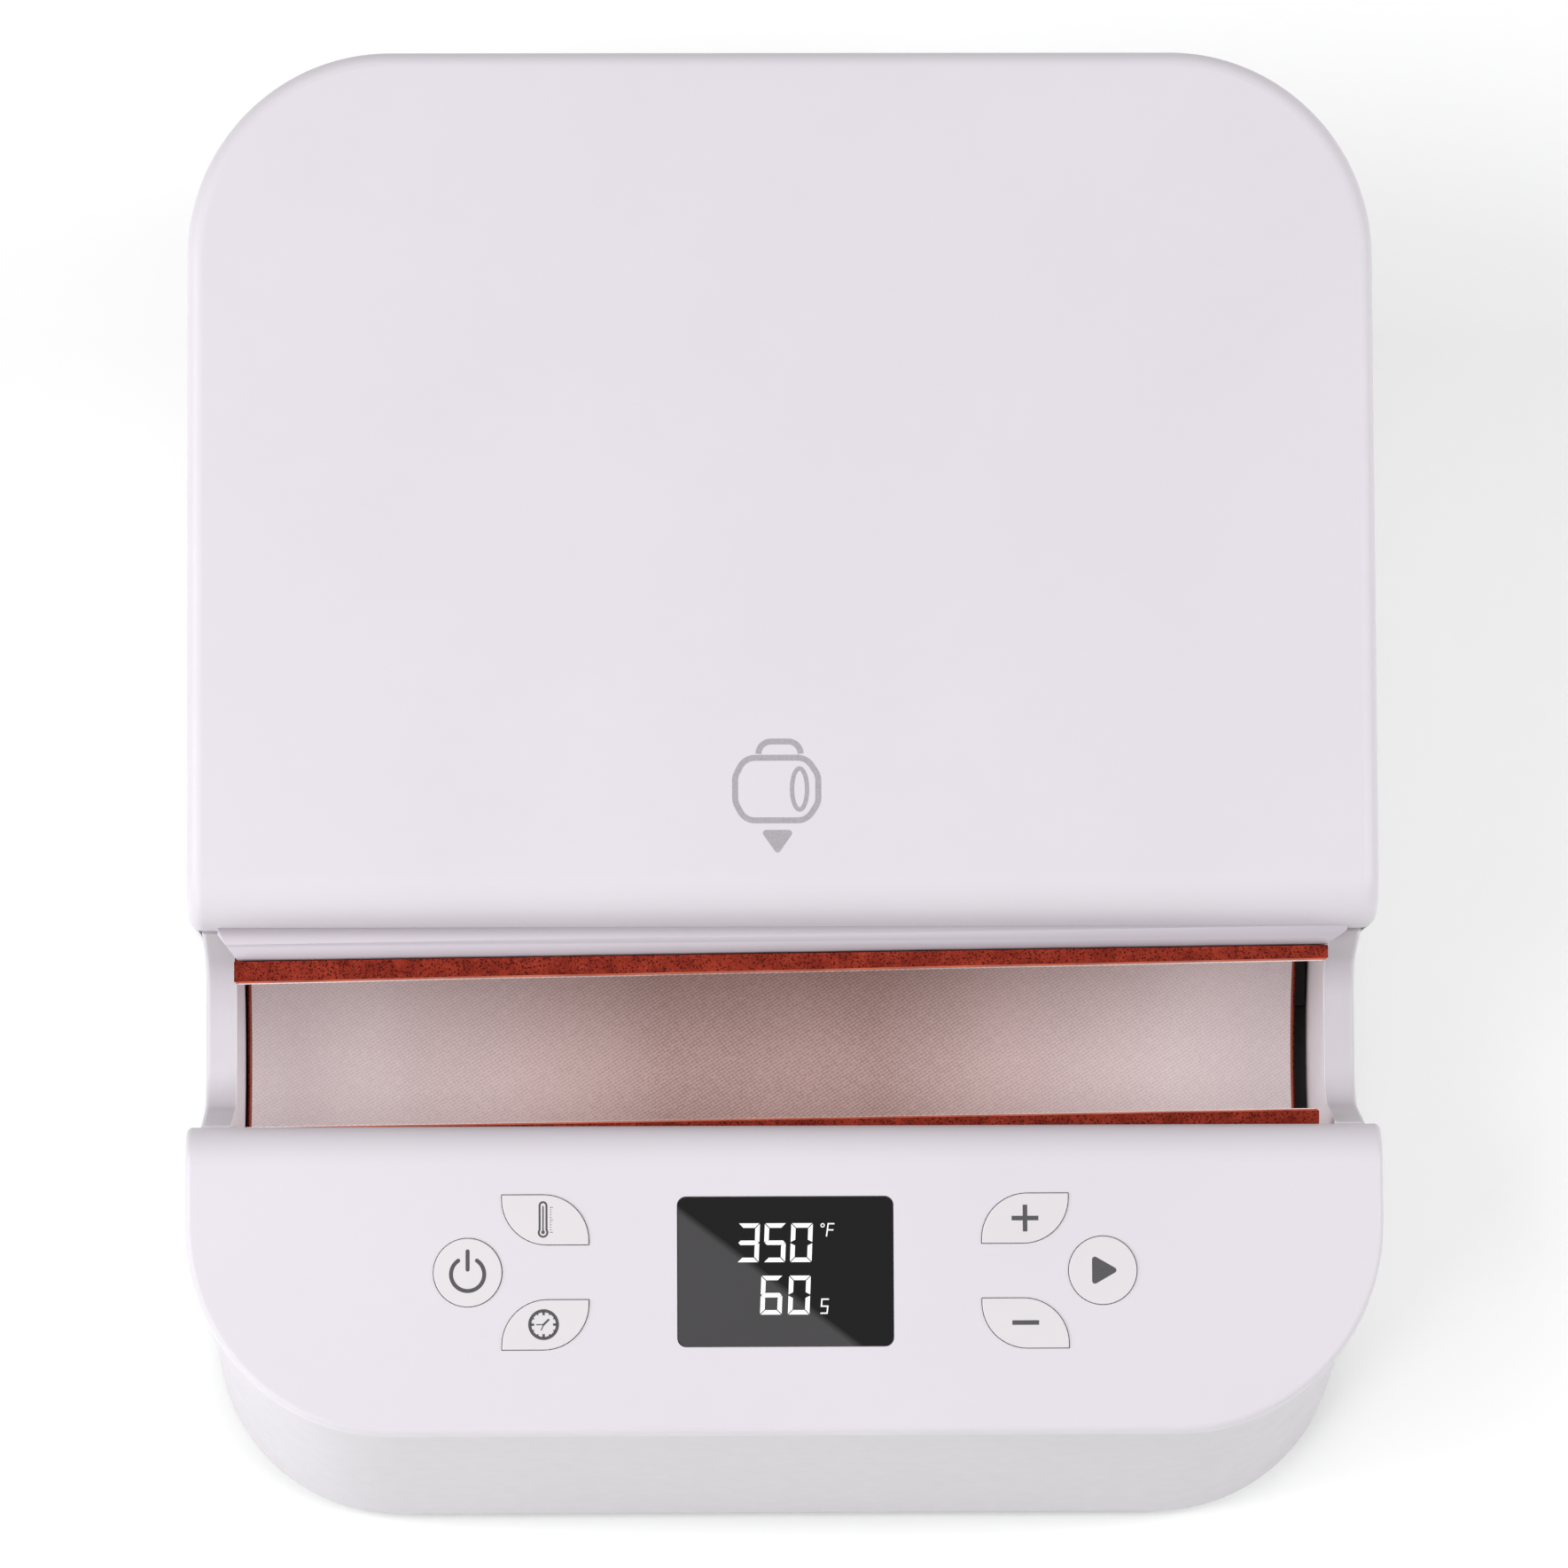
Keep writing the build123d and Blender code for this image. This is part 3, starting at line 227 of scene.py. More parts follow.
def combine(material, first, last, operation="MULTIPLY"):
    return addNode(material, "ShaderNodeMath", {0: first, 1: last}, operation=operation).outputs["Value"]


def addWeighed(material, *pairs):  # two pairs of a field and its weight
    parts = [combine(material, field, weight) for field, weight in pairs]
    return combine(material, *parts, "ADD")


def feed(material, socket, value):
    material.node_tree.links.new(value, shaderOf(material).inputs[socket])


def emboss(material, height, depth, strength):
    inputs = {"Height": height, "Distance": depth, "Strength": strength}
    feed(material, "Normal", addNode(material, "ShaderNodeBump", inputs).outputs["Normal"])


def shade(colour, factor):
    return tuple(c * factor for c in colour)


# finishes: one for each slot of the record but the pad's, and painted shade for pieces that differ from their
# slot's
# a noise field is (scale, detail) and a bump is (depth, strength)

plastics = {
    "cover_white": {"colour": (0.60, 0.586, 0.61), "roughness": 0.42, "grain": 2300},
    # painted shade: base_white is set darker than cover_white, which darkens the base's front wall
    "base_white": {"colour": (0.55, 0.536, 0.56), "roughness": 0.45, "grain": 1900},
    "button_white": {"colour": (0.606, 0.601, 0.596), "roughness": 0.42, "grain": 2600},
    "plate_grey": {"colour": (0.34, 0.34, 0.36), "roughness": 0.55, "grain": 1100},
    "board_black": {"colour": (0.022, 0.022, 0.024), "roughness": 0.5, "grain": 1500},
    "bush_plastic": {"colour": (0.68, 0.64, 0.53), "roughness": 0.48, "grain": 900},
    "foot_rubber": {"colour": (0.035, 0.035, 0.037), "roughness": 0.78, "grain": 1300},
    "bracket_steel": {"colour": (0.075, 0.08, 0.09), "roughness": 0.5, "grain": 1000},  # powder coated
}
paintedShades = {
    # painted shade: the retainer bar's steep face gets a darker, lavender copy of the casing white
    "retainerPaintedShade": {"colour": (0.54, 0.51, 0.545), "roughness": 0.42, "grain": 1900},
    # painted shade: the cradles are made black where they show in the gaps by the pad's ends
    "cradlePaintedShade": {"colour": (0.02, 0.018, 0.018), "roughness": 0.7, "grain": 900},
}
plasticSkin = {
    "cloud": (14, 3),
    "darker": 0.975,
    "glossCloud": (190, 3),
    "glossShift": (-0.04, 0.05),
    "grainDetail": 2,
    "peel": (170, 1),
    "peelWeight": 0.6,
    "bump": (0.000012, 0.5),
}
metals = {
    "zinc_steel": {"colour": (0.56, 0.56, 0.55), "roughness": 0.34, "lines": (60, 900, 60)},
    "ground_steel": {"colour": (0.6, 0.6, 0.61), "roughness": 0.17, "lines": (20, 2600, 20)},
    "nut_brass": {"colour": (0.66, 0.46, 0.18), "roughness": 0.28, "lines": (30, 1700, 30)},
}
metalSkin = {
    "lineField": (1, 2),
    "cloud": (110, 4),
    "darker": 0.86,
    "glossShift": (-0.06, 0.12),
    "bump": (0.00001, 0.5),
}


def shiftedGloss(material, field, roughness, shift):
    ends = (roughness + shift[0], roughness + shift[1])
    feed(material, "Roughness", spread(material, field, noiseBand, ends))


def cloudedColour(material, field, colour, darker):
    tone = spread(material, field, noiseBand)
    feed(material, "Base Color", blendColours(material, tone, shade(colour, darker), colour))


def mouldedPlastic(name, colour, roughness, grain):  # fine spark-eroded grain, slow shifts of tone and gloss
    material = newMaterial(name, colour, roughness)
    spot = placed(material)
    cloudedColour(material, noiseField(material, spot, *plasticSkin["cloud"]), colour, plasticSkin["darker"])
    gloss = noiseField(material, spot, *plasticSkin["glossCloud"])
    shiftedGloss(material, gloss, roughness, plasticSkin["glossShift"])
    sparks = noiseField(material, spot, grain, plasticSkin["grainDetail"])
    peel = combine(material, noiseField(material, spot, *plasticSkin["peel"]), plasticSkin["peelWeight"])
    emboss(material, combine(material, sparks, peel, "ADD"), *plasticSkin["bump"])
    return material


def worksMetal(name, colour, roughness, lines):  # drawn or turned metal, its tool lines across the machine
    material = newMaterial(name, colour, roughness, metallic=1.0)
    toolLines = noiseField(material, placed(material, lines), *metalSkin["lineField"])
    cloud = noiseField(material, placed(material), *metalSkin["cloud"])
    cloudedColour(material, cloud, colour, metalSkin["darker"])
    shiftedGloss(material, toolLines, roughness, metalSkin["glossShift"])
    emboss(material, toolLines, *metalSkin["bump"])
    return material


boardLook = {
    "mask": (0.010, 0.085, 0.032),
    "track": (0.022, 0.17, 0.06),
    "solder": (0.6, 0.6, 0.58),
    "roughness": 0.32,
    "pitch": 290,
    "scatter": 0.75,
    "trackEdge": (0.05, 0.08),
    "padEdge": (0.13, 0.15),
    "bump": (0.00004, 0.6),
}


def circuitBoard():  # tracks as the borders of uneven cells, with a square tinned pad in each
    material = newMaterial("board_green", boardLook["mask"], boardLook["roughness"])
    cells = {"Vector": placed(material), "Scale": boardLook["pitch"], "Randomness": boardLook["scatter"]}
    border = addNode(material, "ShaderNodeTexVoronoi", cells, feature="DISTANCE_TO_EDGE")
    track = spread(material, border.outputs["Distance"], boardLook["trackEdge"], (1, 0))
    middles = addNode(material, "ShaderNodeTexVoronoi", cells, distance="CHEBYCHEV")
    tinned = spread(material, middles.outputs["Distance"], boardLook["padEdge"], (1, 0))
    green = blendColours(material, track, boardLook["mask"], boardLook["track"])
    feed(material, "Base Color", blendColours(material, tinned, green, boardLook["solder"]))
    feed(material, "Metallic", tinned)
    emboss(material, combine(material, track, tinned, "MAXIMUM"), *boardLook["bump"])
    return material


lensGlossAndPaintedReflection = {
    "dark": (0.012, 0.012, 0.012),
    # painted reflection: the paler tone on one side of the diagonal below, with a soft edge
    "paintedLightTone": (0.058, 0.058, 0.058),
    "from": (-27.0, 15.7),  # the diagonal's ends, in millimetres from the window's middle
    "to": (18.2, -18.6),
    "edge": 0.9 * mm,
    "roughness": 0.11,
    "specular": 0.12,
    "smudge": (60, 4),
    "smudgeBand": (0.35, 0.7),
    "gloss": (0.1, 0.17),
}


def smokedLens():  # polished acrylic, with a painted reflection: a paler tone on one side of a diagonal
    look = {"specular_ior_level": lensGlossAndPaintedReflection["specular"]}
    material = newMaterial("lens_black", lensGlossAndPaintedReflection["dark"], lensGlossAndPaintedReflection["roughness"], **look)
    box = slopeBox("display_lens")
    start, end = (
        onSlope(middle(box[0]) + x * mm, middle(box[1]) + along * mm, box[2][1])
        for x, along in (lensGlossAndPaintedReflection["from"], lensGlossAndPaintedReflection["to"])
    )
    paintedReflectionWay = (end - start).normalized().cross(offSlope).normalized()
    pair = {0: placed(material), 1: tuple(start)}
    offset = addNode(material, "ShaderNodeVectorMath", pair, operation="SUBTRACT").outputs["Vector"]
    pair = {0: offset, 1: tuple(paintedReflectionWay)}
    distance = addNode(material, "ShaderNodeVectorMath", pair, operation="DOT_PRODUCT").outputs["Value"]
    side = spread(material, distance, (-lensGlossAndPaintedReflection["edge"], lensGlossAndPaintedReflection["edge"]))
    feed(material, "Base Color", blendColours(material, side, lensGlossAndPaintedReflection["dark"], lensGlossAndPaintedReflection["paintedLightTone"]))
    smudge = noiseField(material, placed(material), *lensGlossAndPaintedReflection["smudge"])
    feed(material, "Roughness", spread(material, smudge, lensGlossAndPaintedReflection["smudgeBand"], lensGlossAndPaintedReflection["gloss"]))
    return material


inks = {
    "hoodInk": {"colour": (0.33, 0.32, 0.335)},
    "iconInk": {"colour": (0.058, 0.058, 0.062)},
    "digitLight": {"colour": (1.0, 1.0, 1.0), "glow": 1.0},
}
inkSkin = {"roughness": 0.5, "fleck": (1700, 3), "darker": 0.9, "lighter": 1.06, "unlit": 0.1}


def printInk(name, colour, glow=0.0):
    material = newMaterial(name, colour, inkSkin["roughness"])
    fleck = spread(material, noiseField(material, placed(material), *inkSkin["fleck"]), narrowBand)
    base = shade(colour, inkSkin["unlit"]) if glow else colour  # lit digits are dark plastic that glows
    flecked = blendColours(material, fleck, shade(base, inkSkin["darker"]), shade(base, inkSkin["lighter"]))
    feed(material, "Base Color", flecked)
    shaderOf(material).inputs["Emission Color"].default_value = (*colour, 1)
    shaderOf(material).inputs["Emission Strength"].default_value = glow
    return material


slotMaterials = {name: mouldedPlastic(name, **values) for name, values in plastics.items()}
slotMaterials.update({name: worksMetal(name, **values) for name, values in metals.items()})
slotMaterials["board_green"] = circuitBoard()
slotMaterials["lens_black"] = smokedLens()
inkMaterials = {name: printInk(name, **values) for name, values in inks.items()}


def dress(name, material):
    nodes[name].data.materials.clear()
    nodes[name].data.materials.append(material)


# painted light: the cheeks' inner faces are given a brighter white, with less pink
cheekPaintedLightFace = {"colour": (0.93, 0.95, 0.98), "from": 0.02 * mm, "to": 0.12 * mm}  # behind the inner face


def cheekPlasticWithPaintedLight():  # the end cheeks' casing plastic, with painted light: a brighter face towards the pad
    base = plastics["base_white"]
    material = mouldedPlastic("cheekWhiteAndPaintedLight", **base)
    outward = addNode(material, "ShaderNodeSeparateXYZ", {"Vector": placed(material)}).outputs["X"]
    fromMiddle = combine(material, outward, 0, "ABSOLUTE")
    face = slopeBox("right_end_cheek")[0][0]
    paintedLightMask = spread(material, fromMiddle, (face + cheekPaintedLightFace["from"], face + cheekPaintedLightFace["to"]))
    feed(material, "Base Color", blendColours(material, paintedLightMask, cheekPaintedLightFace["colour"], base["colour"]))
    return material


slotOf = {part["node"]: part["material_slot"] for part in frame["record"]["subparts"]}
for name in nodes:
    if slotOf[name] in slotMaterials:
        dress(name, slotMaterials[slotOf[name]])
cradlePaintedShadeFinish = mouldedPlastic("cradlePaintedShade", **paintedShades["cradlePaintedShade"])
cheekFinishWithPaintedLight = cheekPlasticWithPaintedLight()
for side in ("front", "rear"):
    dress(side + "_cradle", cradlePaintedShadeFinish)  # painted shade: the cradles, seen in the dark gaps by the pad's ends, are made black
# the end cheeks carry painted light on their inner faces
for side in ("left", "right"):
    dress(side + "_end_cheek", cheekFinishWithPaintedLight)
print("finishes:", len(slotMaterials), "slots dressed")


def addPiece(name, mesh, material, body=None):
    piece = bpy.data.objects.new(name, mesh)
    bpy.context.scene.collection.objects.link(piece)
    mesh.materials.clear()
    mesh.materials.append(material)
    if body:
        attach(piece, body)
    return piece


# pad: woven face, heating mat and foam, bent round the chamber and turned up into two lips

pad = {
    "bore": 40.0 * mm,
    "halfMouth": 18.1 * mm,
    "lipCurl": 9.5 * mm,
    "shift": -0.8 * mm,  # the whole pad sits a little to the left in the chamber
    "seam": 0.01 * mm,
    "stations": 170,  # across the machine
    "lipSteps": 8,
    "curlSteps": 14,
    "bowlSteps": 96,
    "foamBites": 6,  # steps through the foam's cut edges
    "sharpAngle": 50,
    "stretchFrom": -12 * mm,  # from the cup's axis along the slope
    "stretchTo": 30 * mm,
}
# how much shorter each layer is at the pad's ends and at the lips' edges
padTrim = {"fabric": (1.0 * mm, 1.4 * mm), "heater": (0.4 * mm, 0.2 * mm), "foam": (0, 0)}
# how deep the woven face and the mat reach where their edges show
seenDepth = {"fabric": 0.22 * mm, "heater": 0.62 * mm}
# how far each lip leans from its straight place, along the slope, at the pad's left and right ends
lipLean = {
    "frontInner": (-2.4 * mm, 1.5 * mm),
    "frontOuter": (0.0, 0.0),
    "rearInner": (-2.6 * mm, 2.6 * mm),
    "rearOuter": (-1.7 * mm, 1.7 * mm),
}
# how far the right end of the rear lip, the bowl and the front lip stands out
rightEnd = {"rearLip": 1.1 * mm, "bowl": -1.2 * mm, "frontLip": -1.8 * mm, "from": 100 * mm}
# the lean and the right end's shift: their start up the wall and their way, in parts of the curl's rise
growth = {"lean": (0.2, 0.8), "rightEnd": (0.75, 0.35)}
# the unevenness of the woven face and of the lips' edges
ripple = {"depth": 0.10 * mm, "across": 26, "round": 40}
waver = {"depth": 0.22 * mm, "across": 130, "round": 25, "through": 2.5, "start": 3.0}

fabricBox, foamBox = slopeBox("fabric_face"), slopeBox("foam_liner")
chamberAlong = middle(fabricBox[1])
fabricDepth = (fabricBox[1][1] - fabricBox[1][0]) / 2 - pad["bore"]
chamberRise = fabricBox[2][0] + pad["bore"] + fabricDepth
foamDepth = chamberRise - foamBox[2][0] - pad["bore"]
lipTop = fabricBox[2][1] - chamberRise
curlReach = pad["halfMouth"] + pad["lipCurl"]
curlRise = math.sqrt((pad["bore"] + pad["lipCurl"]) ** 2 - curlReach**2)
curlTurn = math.atan2(curlRise, curlReach)


def arcSpots(centre, radius, start, end, steps):
    turns = (start + (end - start) * i / steps for i in range(steps + 1))
    return [(centre[0] + radius * math.cos(a), centre[1] + radius * math.sin(a)) for a in turns]


def padPath(depth, edgeDrop):  # front lip's edge to rear lip's edge, at one depth outside the cup
    curl = pad["lipCurl"] - depth
    lip = curlReach - curl
    edge = lipTop - edgeDrop
    steps = pad["lipSteps"]
    front = [(-lip, edge + (curlRise - edge) * i / steps) for i in range(steps)]
    front += arcSpots((-curlReach, curlRise), curl, 0, -curlTurn, pad["curlSteps"])[:-1]
    bowl = arcSpots((0, 0), pad["bore"] + depth, math.pi - curlTurn, math.tau + curlTurn, pad["bowlSteps"])
    return front + bowl + [(-a, r) for a, r in reversed(front)]


def travelled(path):  # how far each point of a path is from its start, along the path
    return list(accumulate((math.dist(a, b) for a, b in zip(path, path[1:])), initial=0.0))


def leanOf(edge, x):
    left, right = lipLean[edge]
    return left + (right - left) * (x - fabricBox[0][0]) / (fabricBox[0][1] - fabricBox[0][0])


def endShift(x, along, lifted):
    lip = rightEnd["rearLip"] if along > 0 else rightEnd["frontLip"]
    shift = rightEnd["bowl"] * (1 - lifted) + lip * lifted
    return shift * smoothStep((x - rightEnd["from"]) / (fabricBox[0][1] - rightEnd["from"]))


def grown(key, rise):
    start, over = growth[key]
    return smoothStep((rise - start * curlRise) / (over * curlRise))


def padSpot(x, spot, share):  # share runs from 0 on the woven face to 1 on the foam's back
    along, rise = spot
    side = "rear" if along > 0 else "front"
    lean = leanOf(side + "Inner", x) * (1 - share) + leanOf(side + "Outer", x) * share
    lean *= grown("lean", rise)
    x += endShift(x, along, grown("rightEnd", rise))
    place = Vector((x * ripple["across"], along * ripple["round"], rise * ripple["round"]))
    rippled = noise.noise(place) * ripple["depth"] * (1 - share)
    place = Vector((x * waver["across"], waver["start"] + along * waver["round"], share * waver["through"]))
    wavered = noise.noise(place) * waver["depth"] * smoothStep((rise - curlRise) / (lipTop - curlRise))
    return onSlope(x, chamberAlong + along + lean + rippled, chamberRise + rise + wavered)


def bandMesh(name, layer, depths, shares):  # one closed skin round a layer, with the flat cloth's UV map
    steps = len(depths) - 1
    endTrim, edgeTrim = padTrim[layer]
    start, reach = fabricBox[0][0] + endTrim, fabricBox[0][1] - fabricBox[0][0] - 2 * endTrim
    stations = [start + reach * i / pad["stations"] for i in range(pad["stations"] + 1)]
    paths = [padPath(depth, edgeTrim) for depth in depths]
    reached = travelled(paths[0])
    last = len(reached) - 1
    ring = [(0, j) for j in range(last)] + [(k, last) for k in range(steps)]
    ring += [(steps, j) for j in range(last, 0, -1)] + [(k, 0) for k in range(steps, 0, -1)]
    mesh = bmesh.new()
    cutPattern = mesh.loops.layers.uv.new("cut")
    spotAt, uvAt = {}, {}
    for i, x in enumerate(stations):
        atEnd = i in (0, len(stations) - 1)
        keys = [(k, j) for k in range(steps + 1) for j in range(last + 1)] if atEnd else ring
        for k, j in keys:
            vertex = mesh.verts.new(padSpot(x, paths[k][j], shares[k]) + Vector((pad["shift"], 0, 0)))
            spotAt[i, k, j] = vertex
            uvAt[vertex] = (i / pad["stations"], reached[j] / reached[-1])

    def face(*keys):
        made = mesh.faces.new([spotAt[key] for key in keys])
        made.smooth = True
        for loop in made.loops:
            loop[cutPattern].uv = uvAt[loop.vert]

    for i in range(len(stations) - 1):
        for n, (k, j) in enumerate(ring):
            k2, j2 = ring[(n + 1) % len(ring)]
            face((i, k, j), (i + 1, k, j), (i + 1, k2, j2), (i, k2, j2))
    for i in (0, len(stations) - 1):
        for k in range(steps):
            for j in range(last):
                face((i, k, j), (i, k, j + 1), (i, k + 1, j + 1), (i, k + 1, j))
    bmesh.ops.recalc_face_normals(mesh, faces=mesh.faces)
    data = bpy.data.meshes.new(name)
    mesh.to_mesh(data)
    mesh.free()
    data.set_sharp_from_angle(angle=math.radians(pad["sharpAngle"]))
    return data


def padBand(name, layer, depths, shares, material):
    piece = addPiece(name, bandMesh(name, layer, depths, shares), material)
    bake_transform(piece)
    return piece


weave = {
    "light": (0.58, 0.42, 0.385),
    "dark": (0.39, 0.265, 0.235),
    "paintedLitEndsLight": (0.95, 0.88, 0.87),  # painted light: the two ends, lit paler
    "paintedLitEndsDark": (0.84, 0.74, 0.73),
    "paintedShadeCentre": 0.5,
    "paintedLightBand": (0.1, 0.47),  # from the weave's own tone to the painted light, in parts of the pad's width from its middle
    "threads": (275, 226),
    "ribs": {"turn": 58, "scale": 0.37},
    "crossing": {"turn": -38, "scale": 0.31},
    "crossingDepth": (0.35, 1),
    "wave": {"Distortion": 0.9, "Detail": 1.0, "Detail Scale": 2.0},
    "fibreStretch": (2.2, 0.4),
    "fibreField": (1, 2),
    "heightWeights": (0.62, 1.3),  # ribs and fibres
    "cloud": (30, 3),
    "toneWeights": (0.75, 0.35),  # height and cloud
    "toneBand": (0.40, 0.72),
    "roughness": 0.6,
    "gloss": (0.52, 0.7),
    "sheen": {"sheen_weight": 0.4, "sheen_roughness": 0.35},
    "bump": (0.00012, 0.7),
}


def slantWave(material, turn, scale):
    threads = placed(material, (*weave["threads"], 1), "UV")
    slant = {"Vector": threads, "Rotation": (0, 0, math.radians(turn))}
    turned = addNode(material, "ShaderNodeMapping", slant).outputs["Vector"]
    inputs = {"Vector": turned, "Scale": scale, **weave["wave"]}
    return addNode(material, "ShaderNodeTexWave", inputs, wave_profile="SIN").outputs["Fac"]


def fibres(material, stretch):
    scale = [count * by for count, by in zip(weave["threads"], stretch)]
    return noiseField(material, placed(material, (*scale, 1), "UV"), *weave["fibreField"])


def wovenFace():  # a fine twill, its ribs at a slant to both threads, with painted light making its two ends paler
    material = newMaterial("pad_fabric", weave["light"], weave["roughness"], **weave["sheen"])
    ribs = slantWave(material, **weave["ribs"])
    crossing = spread(material, slantWave(material, **weave["crossing"]), (0, 1), weave["crossingDepth"])
    ribs = combine(material, ribs, crossing)
    warp = fibres(material, weave["fibreStretch"])
    weft = fibres(material, weave["fibreStretch"][::-1])
    height = addWeighed(material, *zip((ribs, combine(material, warp, weft)), weave["heightWeights"]))
    cloud = noiseField(material, placed(material), *weave["cloud"])
    tone = addWeighed(material, *zip((height, cloud), weave["toneWeights"]))
    tone = spread(material, tone, weave["toneBand"])
    weaveTone = blendColours(material, tone, weave["dark"], weave["light"])
    # painted light: a paler copy of the weave's tones for both ends of the pad
    paintedLightTone = blendColours(material, tone, weave["paintedLitEndsDark"], weave["paintedLitEndsLight"])
    cut = {"Vector": placed(material, source="UV")}
    across = addNode(material, "ShaderNodeSeparateXYZ", cut).outputs["X"]
    fromMiddle = combine(material, combine(material, across, weave["paintedShadeCentre"], "SUBTRACT"), 0, "ABSOLUTE")
    paintedLightShare = spread(material, fromMiddle, weave["paintedLightBand"])
    feed(material, "Base Color", blendColours(material, paintedLightShare, weaveTone, paintedLightTone))
    feed(material, "Roughness", spread(material, warp, noiseBand, weave["gloss"]))
    emboss(material, height, *weave["bump"])
    return material


heatMat = {
    "deep": (0.30, 0.05, 0.018),
    "bright": (0.50, 0.12, 0.05),
    "roughness": 0.42,
    "subsurface": 0.25,
    "subsurfaceRadius": (0.0015, 0.0006, 0.0004),
    "cloud": (70, 3),
    "grain": (900, 2),
    "bump": (0.00003, 0.5),
}


def siliconeMat():
    look = {"subsurface_weight": heatMat["subsurface"]}
    material = newMaterial("heater_red", heatMat["bright"], heatMat["roughness"], **look)
    shaderOf(material).inputs["Subsurface Radius"].default_value = heatMat["subsurfaceRadius"]
    spot = placed(material)
    tone = spread(material, noiseField(material, spot, *heatMat["cloud"]), noiseBand)
    feed(material, "Base Color", blendColours(material, tone, heatMat["deep"], heatMat["bright"]))
    emboss(material, noiseField(material, spot, *heatMat["grain"]), *heatMat["bump"])
    return material


foam = {
    "pore": (0.03, 0.003, 0.002),
    "cell": (0.185, 0.018, 0.009),
    "bright": (0.29, 0.034, 0.017),
    "roughness": 1.0,
    "specular": 0.12,
    "cellPitches": (1250, 2875),
    "poreBand": (0.06, 0.26),
    "cloud": (230, 3),
    "bump": (0.0004, 0.8),
}


def cutFoam():  # open cells of two sizes cut through, over a slow mottling
    material = newMaterial("foam_red", foam["cell"], foam["roughness"], specular_ior_level=foam["specular"])
    spot = placed(material)
    coarse, fine = (
        addNode(material, "ShaderNodeTexVoronoi", {"Vector": spot, "Scale": pitch}).outputs["Distance"]
        for pitch in foam["cellPitches"]
    )
    depth = combine(material, coarse, fine)
    mottle = spread(material, noiseField(material, spot, *foam["cloud"]), narrowBand)
    wall = blendColours(material, mottle, foam["cell"], foam["bright"])
    pores = spread(material, depth, foam["poreBand"], (1, 0))
    feed(material, "Base Color", blendColours(material, pores, wall, foam["pore"]))
    emboss(material, depth, *foam["bump"])
    return material


fabricDepths = (0, seenDepth["fabric"])
heaterDepths = (seenDepth["fabric"] + pad["seam"], seenDepth["heater"])
foamStart = seenDepth["heater"] + pad["seam"]
foamSteps = [i / pad["foamBites"] for i in range(pad["foamBites"] + 1)]
foamDepths = [foamStart + (foamDepth - foamStart) * s for s in foamSteps]
fabricPiece = padBand("padFabric", "fabric", fabricDepths, (0, 0), wovenFace())
heaterPiece = padBand("padHeater", "heater", heaterDepths, (0, 0), siliconeMat())
foamPiece = padBand("padFoam", "foam", foamDepths, foamSteps, cutFoam())
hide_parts("fabric_face")
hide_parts("heater_mat")
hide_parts("foam_liner")
endTrim, edgeTrim = padTrim["fabric"]
fabricLength = travelled(padPath(0, edgeTrim))[-1]

# retainer bar under the hood's lip, fitted a little askew with the pad's rear lip

retainer = {
    "topEdge": 138 * mm,  # points above this rise are closed up against the hood's lip
    "closed": 0.98 * mm,
    "straight": 0.15,  # the part of the bar next to the lip that doesn't lean
    "sharpAngle": 35,
}


def retainerBar():
    data = nodes["pad_retainer"].data.copy()
    data.name = "retainerBar"
    mesh = bmesh.new()
    mesh.from_mesh(data)
    bmesh.ops.remove_doubles(mesh, verts=mesh.verts, dist=weld)
    face = slopeBox("pad_retainer")[1][0]
    lip = slopeBox("hood")[1][0]
    for vertex in mesh.verts:
        standOut = (lip - vertex.co.dot(upSlope)) / (lip - face)
        if standOut > retainer["straight"]:
            vertex.co += upSlope * leanOf("rearOuter", vertex.co.x) * min(standOut, 1)
        elif standOut > 0 and vertex.co.dot(offSlope) > retainer["topEdge"]:
            vertex.co += upSlope * retainer["closed"]
    bmesh.ops.recalc_face_normals(mesh, faces=mesh.faces)
    mesh.to_mesh(data)
    mesh.free()
    data.shade_smooth()
    data.set_sharp_from_angle(angle=math.radians(retainer["sharpAngle"]))
    # painted shade: a darker copy of the casing white for the bar's steep face
    finish = mouldedPlastic("retainerPaintedShade", **paintedShades["retainerPaintedShade"])
    piece = addPiece("retainerBar", data, finish, "hood_carriage")
    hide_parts("pad_retainer")


retainerBar()
print("retainer bar fitted")

# prints: thin raised inks on the hood and the buttons, and lit strokes on the lens
# their points and widths are in millimetres, from the middle of what carries them

prints = {"lift": 0.02 * mm, "digitLift": 0.03 * mm, "thickness": 0.03 * mm}
strokeEnds = {"capSteps": 8, "mitre": 0.4}  # the mitre keeps a sharp corner from standing far out


